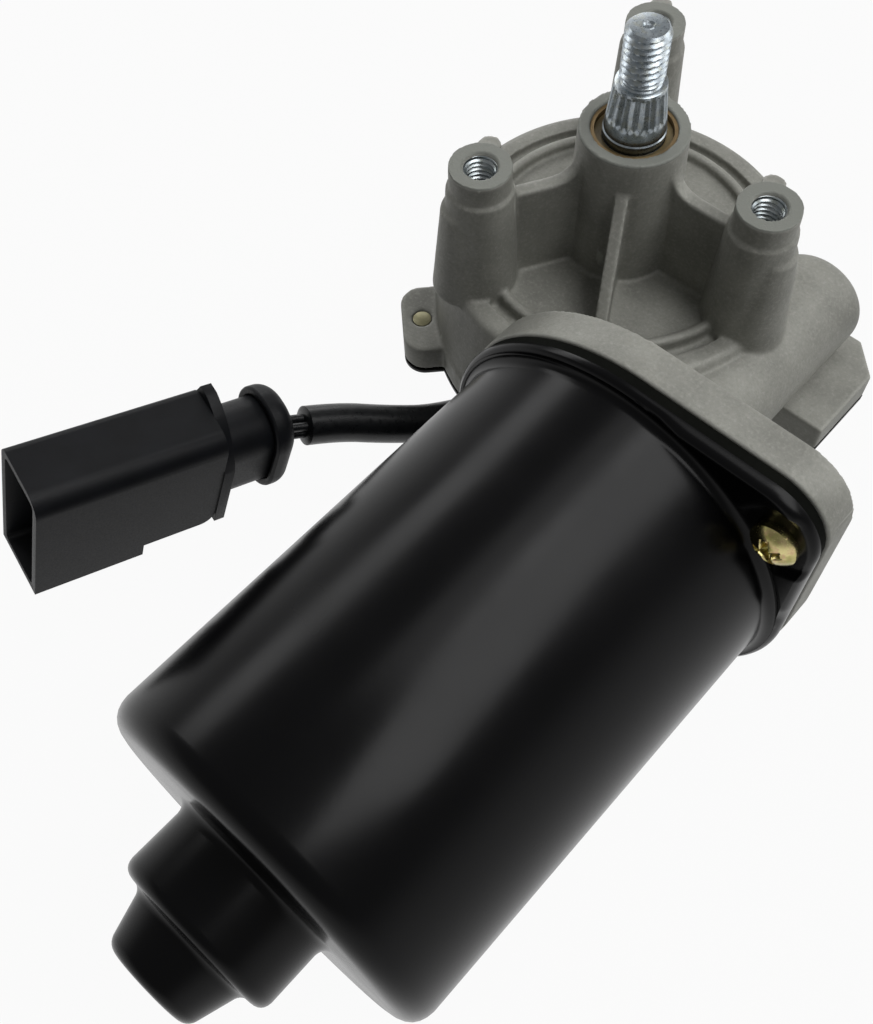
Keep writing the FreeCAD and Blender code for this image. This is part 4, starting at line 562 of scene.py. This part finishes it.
canLook = {
    "outside": [(nearAxis, 156.0, 0), (8.6, 156.0, 1.7), (11.4, 147.0, 1.3), (15.5, 147.0, 2.2),
                (15.5, 133.5, 2.0), (34.5, 133.5, 4.6), (34.5, 100.0, 0), (34.5, 70.0, 0),
                (34.5, 46.7, 0)],
    "inside": [(33.2, 43.2, 0), (32.9, 43.6, 0), (32.9, 131.9, 3.0), (13.9, 131.9, 0),
               (13.9, 145.4, 1.0), (9.8, 145.4, 0), (7.0, 154.4, 0), (nearAxis, 154.4, 0)],
    "foot": 43.2, "sheet": 1.6, "radius": 34.5, "edgeRounding": 1.3, "footRounding": 1.9, "arcSteps": 6,
    "plateRows": 26, "leastPlate": 0.05, "emboss": 0.85, "embossSlope": 0.8, "embossStart": 1.0,
    "dish": 6.9, "screwCircle": 40.9, "screwAngle": 41.3, "steps": 288, "smooth": 50}


def alongCan(points):
    # from the can's own frame, whose Z runs along it, to the part's: x + axisX, -z, axisZ + y
    points = np.asarray(points, float)
    return np.stack([points[..., 0] + housingLook["axisX"], -points[..., 2],
                     housingLook["axisZ"] + points[..., 1]], axis=-1)


def screwSpots():
    # the two screws' places across the can's axis
    angle = math.radians(canLook["screwAngle"])
    spot = np.array([math.cos(angle), math.sin(angle)]) * canLook["screwCircle"]
    return [spot, -spot]


def flangeRadius(turn):
    # distance from the axis to the flange's edge: a circle with two opposite rounded square corners
    flange, corner = housingLook["flange"], housingLook["corner"]
    across, up = np.abs(np.cos(turn)), np.abs(np.sin(turn))
    centre = flange - corner
    toCentre = centre * (across + up)
    arc = toCentre + np.sqrt(np.maximum(toCentre ** 2 - 2 * centre ** 2 + corner ** 2, 0))
    slope = np.arctan2(np.minimum(across, up), np.maximum(across, up))
    square = np.where(slope > math.atan2(centre, flange), arc, flange / np.maximum(across, up))
    return np.where(np.cos(turn) * np.sin(turn) > 0, square, flange)


def canPoints():
    # one closed section carried round the axis: up the outside, over the flange's edge and back inside.
    # The plate is lifted by the emboss, apart from a dish round each screw.
    look = canLook
    turn = (np.arange(look["steps"]) + 0.5) * fullTurn / look["steps"]
    rim = flangeRadius(turn)
    plate = look["foot"] + look["sheet"]
    quarter = np.radians(np.linspace(0, 90, look["arcSteps"]))
    rows = [ring(r, z, turn) for r, z in roundedProfile(look["outside"])]

    bend = look["footRounding"]
    for step in quarter[::-1][1:]:
        rows.append(ring(look["radius"] + bend * (1 - math.sin(step)),
                         plate + bend * (1 - math.cos(step)), turn))
    start = look["radius"] + bend
    edge = rim - look["edgeRounding"]
    for share in np.linspace(0, 1, look["plateRows"])[1:]:
        r = start + (np.maximum(edge, start + look["leastPlate"]) - start) * share
        away = np.min([np.hypot(r * np.cos(turn) - x, r * np.sin(turn) - y)
                       for x, y in screwSpots()], axis=0)
        lift = np.clip((away - look["dish"]) / look["embossSlope"], 0, 1)
        lift = lift * lift * (3 - 2 * lift) * look["emboss"] * \
            np.clip((r - start) / look["embossStart"], 0, 1)
        rows.append(ring(r, plate + lift, turn))
    for step in quarter[1:]:
        fall = look["edgeRounding"] * (1 - math.cos(step))
        rows.append(ring(edge + look["edgeRounding"] * math.sin(step),
                         plate + lift * math.cos(step) - fall, turn))
    rows.append(ring(rim, look["foot"], turn))
    rows += [ring(r, z, turn) for r, z in roundedProfile(look["inside"])]
    return alongCan(closePoles(np.array(rows)))


can = gridPiece("motorCan", [canPoints()], "blackEnamel", canLook["smooth"])
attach(can, "housing")
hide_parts("motor_can")
print("can made")


# Can screws

screwLook = {"head": 4.2, "height": 3.7, "washer": 1.5, "domePower": 2.2, "rings": 34,
             "crossWidth": 0.8, "crossReach": 2.4, "crossDepth": 1.9, "crossSides": 2.2,
             "crossFade": (1.15, 0.8), "skirt": 0.75, "chamfer": 0.1, "shank": 2.45, "length": 10.0,
             "steps": 144, "smooth": 38, "turned": (28.0, 64.0)}


def screwPoints(turned):
    # a domed head, z = washer + (height - washer) * (1 - (r / head) to the domePower), less a cross
    # whose depth fades along its arms
    look = screwLook
    turn = np.arange(look["steps"]) * fullTurn / look["steps"]
    reach = look["head"] * np.sin(np.linspace(0, 1, look["rings"]) * math.pi / 2)[:, None]
    reach[0] = 0
    rise = (look["height"] - look["washer"]) * (1 - (reach / look["head"]) ** look["domePower"])
    across = np.abs(reach * np.cos(turn - turned))
    up = np.abs(reach * np.sin(turn - turned))
    arms = [np.clip(1 - side / look["crossWidth"], 0, 1) * (along < look["crossReach"])
            for side, along in ((across, up), (up, across))]
    full, drop = look["crossFade"]
    fade = np.clip(full - reach / look["crossReach"] * drop, 0, 1)
    cut = np.clip(np.maximum(*arms) * look["crossSides"], 0, 1) * look["crossDepth"] * fade
    lower = revolved([(look["head"], look["skirt"]), (look["head"] - look["chamfer"], 0.0),
                      (look["shank"], 0.0), (look["shank"], -look["length"]),
                      (0.0, -look["length"])], turn)
    return np.concatenate([ring(reach, look["washer"] + rise - cut, turn), lower])


screws = [alongCan(screwPoints(math.radians(degrees)) + (*spot, canLook["foot"] + canLook["sheet"]))
          for spot, degrees in zip(screwSpots(), screwLook["turned"])]
canScrews = gridPiece("canScrews", screws, "yellowPassivatedZinc", screwLook["smooth"])
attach(canScrews, "housing")
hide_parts("can_screws")
print("can screws made")


# Cover, gasket, grommet, plug and cover screws: their solids with moulded or pressed edges

softLook = {"flat": 1, "bevelled": 35, "smooth": 50, "segments": 2,
            "blockScrewFrom": 40.0, "blockScrewEnd": -50.0}
# the new piece's name, width of its rounding in mm, slot and finish
softEdges = {
    "gearbox_cover": ("coverPressing", 0.3, "black_paint", "blackEnamel"),
    "cable_grommet": ("grommet", 0.5, "rubber", "mouldedRubber"),
    "connector_housing": ("connectorBody", 0.35, "black_plastic", "mouldedGlassNylon"),
    "connector_cap": ("connectorCap", 0.5, "black_plastic", "mouldedGlassNylon"),
    "can_gasket": ("canGasket", 0.25, "gasket_paper", "gasketComposite"),
    "cover_screws": ("coverScrews", 0.15, "yellow_zinc", "agedPassivatedZinc"),
}


def dissolveFlats(shape):
    # joins the triangles of each flat face, so that the bevel finds real edges only
    bmesh.ops.dissolve_limit(shape, angle_limit=math.radians(softLook["flat"]), verts=shape.verts,
                             edges=shape.edges)


def softCopy(node, name, width, finish):
    # a merged copy of a node's mesh with its edges rounded by a bevel of that width in mm
    mesh = nodes[node].data.copy()
    mesh.name = name
    weld(mesh, dissolveFlats)
    piece = addPiece(name, mesh)
    bevel = piece.modifiers.new("edges", "BEVEL")
    bevel.width = width * mm
    bevel.segments = softLook["segments"]
    bevel.limit_method = "ANGLE"
    bevel.angle_limit = math.radians(softLook["bevelled"])
    bevel.harden_normals = False
    shadeByAngle(mesh, softLook["smooth"])
    coat(mesh, finish)
    return piece


soft = {}
for node, (name, width, slot, finish) in softEdges.items():
    piece = softCopy(node, name, width, finish)
    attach(piece, "housing")
    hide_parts(node)
    soft[node] = piece

# the screw in the block ends inside its closed hole
points = readPoints(soft["cover_screws"].data)
proud = (points[:, 0] > softLook["blockScrewFrom"]) & (points[:, 2] > softLook["blockScrewEnd"])
points[proud, 2] = softLook["blockScrewEnd"]
writePoints(soft["cover_screws"].data, points)
print("edges softened")


# Cable

cableLook = {"sheathRadius": 4.0, "sheathRings": 90, "steps": 48, "wireRadius": 0.95, "wires": 4,
             "wireSpread": 1.5, "wireRings": 14, "wireSteps": 16, "bareLength": 5.9, "wireOverlap": 1.0,
             "firstWire": 45, "endDome": 0.5, "domeAngles": (30, 60, 80), "curveSteps": 24,
             "curveOrder": 3, "smooth": 50,
             "corners": [(-7.488, -30.559, -62.379), (-11.6, -41.4, -59.7), (-17.2, -51.0, -55.0),
                         (-23.5, -60.6, -49.4), (-27.469, -70.818, -44.809)]}


def cableLine():
    # the cable's centre line in mm: the points of a smooth spline whose control points are the corners
    curve = bpy.data.curves.new("cableLine", "CURVE")
    curve.dimensions = "3D"
    curve.resolution_u = cableLook["curveSteps"]
    spline = curve.splines.new("NURBS")
    spline.points.add(len(cableLook["corners"]) - 1)
    for point, corner in zip(spline.points, cableLook["corners"]):
        point.co = (*[c * mm for c in corner], 1.0)
    spline.order_u = cableLook["curveOrder"]
    spline.use_endpoint_u = True
    holder = bpy.data.objects.new("cableLine", curve)
    line = bpy.data.meshes.new_from_object(holder)
    points = readPoints(line)
    bpy.data.objects.remove(holder)
    bpy.data.curves.remove(curve)
    bpy.data.meshes.remove(line)
    return points


def tubeAlong(line, radius, steps, offset=(0.0, 0.0), domed=0.0):
    # rings round a line: centre + r (cos t side + sin t up), where side is square to the line and
    # level; the last rings close over a dome of the given length
    ahead = np.gradient(line, axis=0)
    ahead /= np.linalg.norm(ahead, axis=1)[:, None]
    side = np.cross(ahead, (0, 0, 1))
    side /= np.linalg.norm(side, axis=1)[:, None]
    up = np.cross(side, ahead)
    turn = np.arange(steps) * fullTurn / steps
    centre = line + side * offset[0] + up * offset[1]
    outward = np.cos(turn)[:, None] * side[:, None, :] + np.sin(turn)[:, None] * up[:, None, :]
    rows = [np.repeat(centre[:1, None, :], steps, axis=1), centre[:, None, :] + radius * outward]
    for angle in np.radians(cableLook["domeAngles"]):
        level = centre[-1] + ahead[-1] * domed * math.sin(angle)
        rows.append((level + radius * math.cos(angle) * outward[-1])[None])
    rows.append(np.repeat((centre[-1:] + ahead[-1] * domed)[:, None, :], steps, axis=1))
    return np.concatenate(rows)


def cable():
    # a round sheath as far as its end and four insulated wires from there to the connector's cap
    look = cableLook
    line = cableLine()
    gone = np.concatenate([[0], np.cumsum(np.linalg.norm(np.diff(line, axis=0), axis=1))])
    length = gone[-1]
    sheathEnd = length - look["bareLength"]

    def stretch(start, end, count):
        # evenly spaced points of the line between two distances along it
        steps = np.linspace(start, end, count)
        return np.stack([np.interp(steps, gone, line[:, axis]) for axis in range(3)], axis=-1)

    tubes = [tubeAlong(stretch(0, sheathEnd, look["sheathRings"]), look["sheathRadius"], look["steps"],
                       domed=look["endDome"])]
    for angle in np.radians(look["firstWire"] + 360 * np.arange(look["wires"]) / look["wires"]):
        offset = (look["wireSpread"] * math.cos(angle), look["wireSpread"] * math.sin(angle))
        tubes.append(tubeAlong(stretch(sheathEnd - look["wireOverlap"], length, look["wireRings"]),
                               look["wireRadius"], look["wireSteps"], offset))
    return gridPiece("cableSheath", tubes, "extrudedPvc", look["smooth"]), line * mm, length * mm


sheath, path, cableLength = cable()
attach(sheath, "housing")
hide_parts("cable_sheath", "connector_wires")
print("cable made:", round(cableLength / mm, 1), "mm long")


# Floor, light and camera

# the air lights the object evenly; what is seen is a pale wall that darkens upwards
studioLook = {"floorLevel": -80.0, "floorWidth": 6.0, "floor": "#8c8c8a", "lift": 0.95,
              "air": 0.10, "wall": 0.85, "ceiling": 0.3, "wallTop": (0.05, 0.35)}
# place and aim in mm, width and height in mm, watts
lamps = {
    "window": ((270, 90, 520), (34, -90, -10), 520, 340, 2.6),
    "overhead": ((-10, 130, 560), (10, 0, -20), 240, 240, 0.35),
    "leftWindow": ((-430, 40, 250), (20, -40, -20), 420, 150, 0.75),
    "backLeft": ((-420, 400, 200), (0, 0, -20), 300, 300, 0.9),
    "backRight": ((420, 520, 260), (10, 0, -20), 400, 360, 1.3),
}


def seenShare(owner):
    # 1 for a ray that shows the studio itself: from the camera, off a glossy surface or through glass
    rays = addNode(owner, "ShaderNodeLightPath")
    most = {"operation": "MAXIMUM"}
    seen = addNode(owner, "ShaderNodeMath", most, out=0, i0=rays.outputs["Is Camera Ray"],
                   i1=rays.outputs["Is Glossy Ray"])
    return addNode(owner, "ShaderNodeMath", most, out=0, i0=seen, i1=rays.outputs["Is Transmission Ray"])


def studioFloor():
    # a pale matt floor, lifted towards white where it is seen directly or in a reflection
    half, level = studioLook["floorWidth"] / 2, studioLook["floorLevel"] * mm
    mesh = bpy.data.meshes.new("studioFloor")
    mesh.from_pydata([(-half, -half, level), (half, -half, level), (half, half, level),
                      (-half, half, level)], [], [(0, 1, 2, 3)])
    material = emptyMaterial("paleFloor")
    matt = addNode(material, "ShaderNodeBsdfDiffuse", out="BSDF",
                   Color=linearColour(studioLook["floor"]))
    white = addNode(material, "ShaderNodeEmission", out="Emission", Color=(1, 1, 1, 1), Strength=1.0)
    share = addNode(material, "ShaderNodeMath", {"operation": "MULTIPLY"}, out=0, i0=seenShare(material),
                    i1=studioLook["lift"])
    blend = addNode(material, "ShaderNodeMixShader", out="Shader", i0=share, i1=matt, i2=white)
    addNode(material, "ShaderNodeOutputMaterial", Surface=blend)
    mesh.materials.append(material)
    piece = addPiece("studioFloor", mesh)


def studioAir():
    # the world's strength, by the height of the direction that is looked in
    world = bpy.data.worlds.new("studioAir")
    bpy.context.scene.world = world
    world.use_nodes = True
    low, high = studioLook["wallTop"]
    direction = addNode(world, "ShaderNodeTexCoord", out="Generated")
    height = addNode(world, "ShaderNodeSeparateXYZ", out="Z", Vector=direction)
    wall = addNode(world, "ShaderNodeMapRange", out="Result", Value=height, From_Min=low, From_Max=high,
                   To_Min=studioLook["wall"], To_Max=studioLook["ceiling"])
    level = addNode(world, "ShaderNodeMapRange", out="Result", Value=seenShare(world),
                    To_Min=studioLook["air"], To_Max=wall)
    background = world.node_tree.nodes["Background"]
    background.inputs["Color"].default_value = (1, 1, 1, 1)
    world.node_tree.links.new(level, background.inputs["Strength"])


def softbox(name, spot, aim, width, height, power):
    # an area lamp that looks from its spot at another point
    lamp = bpy.data.lights.new(name, "AREA")
    lamp.shape = "RECTANGLE"
    lamp.size = width * mm
    lamp.size_y = height * mm
    lamp.energy = power
    holder = addPiece(name, lamp)
    holder.location = Vector(spot) * mm
    holder.rotation_euler = (Vector(aim) - Vector(spot)).to_track_quat("-Z", "Y").to_euler()


studioFloor()
studioAir()
for name, lamp in lamps.items():
    softbox(name, *lamp)

cameraLook = {"place": (88.9, -142.2, 150.8), "focalPixels": 1186.45, "longSide": 1024, "sensor": 36.0,
              "clipStart": 0.01, "right": (0.73499, 0.67746, -0.02901),
              "down": (0.57779, -0.6481, -0.49612), "forward": (-0.3549, 0.34788, -0.86777)}
right, down, ahead = (Vector(cameraLook[key]) for key in ("right", "down", "forward"))
eye = bpy.data.cameras.new("photoView")
eye.sensor_width = cameraLook["sensor"]
eye.lens = cameraLook["focalPixels"] * cameraLook["sensor"] / cameraLook["longSide"]
eye.clip_start = cameraLook["clipStart"]
viewer = addPiece("photoView", eye)
viewer.matrix_world = Matrix.Translation(Vector(cameraLook["place"]) * mm) @ \
    Matrix((right, -down, -ahead)).transposed().to_4x4()
bpy.context.scene.camera = viewer
bpy.context.scene.view_settings.view_transform = "Standard"
print("studio made")
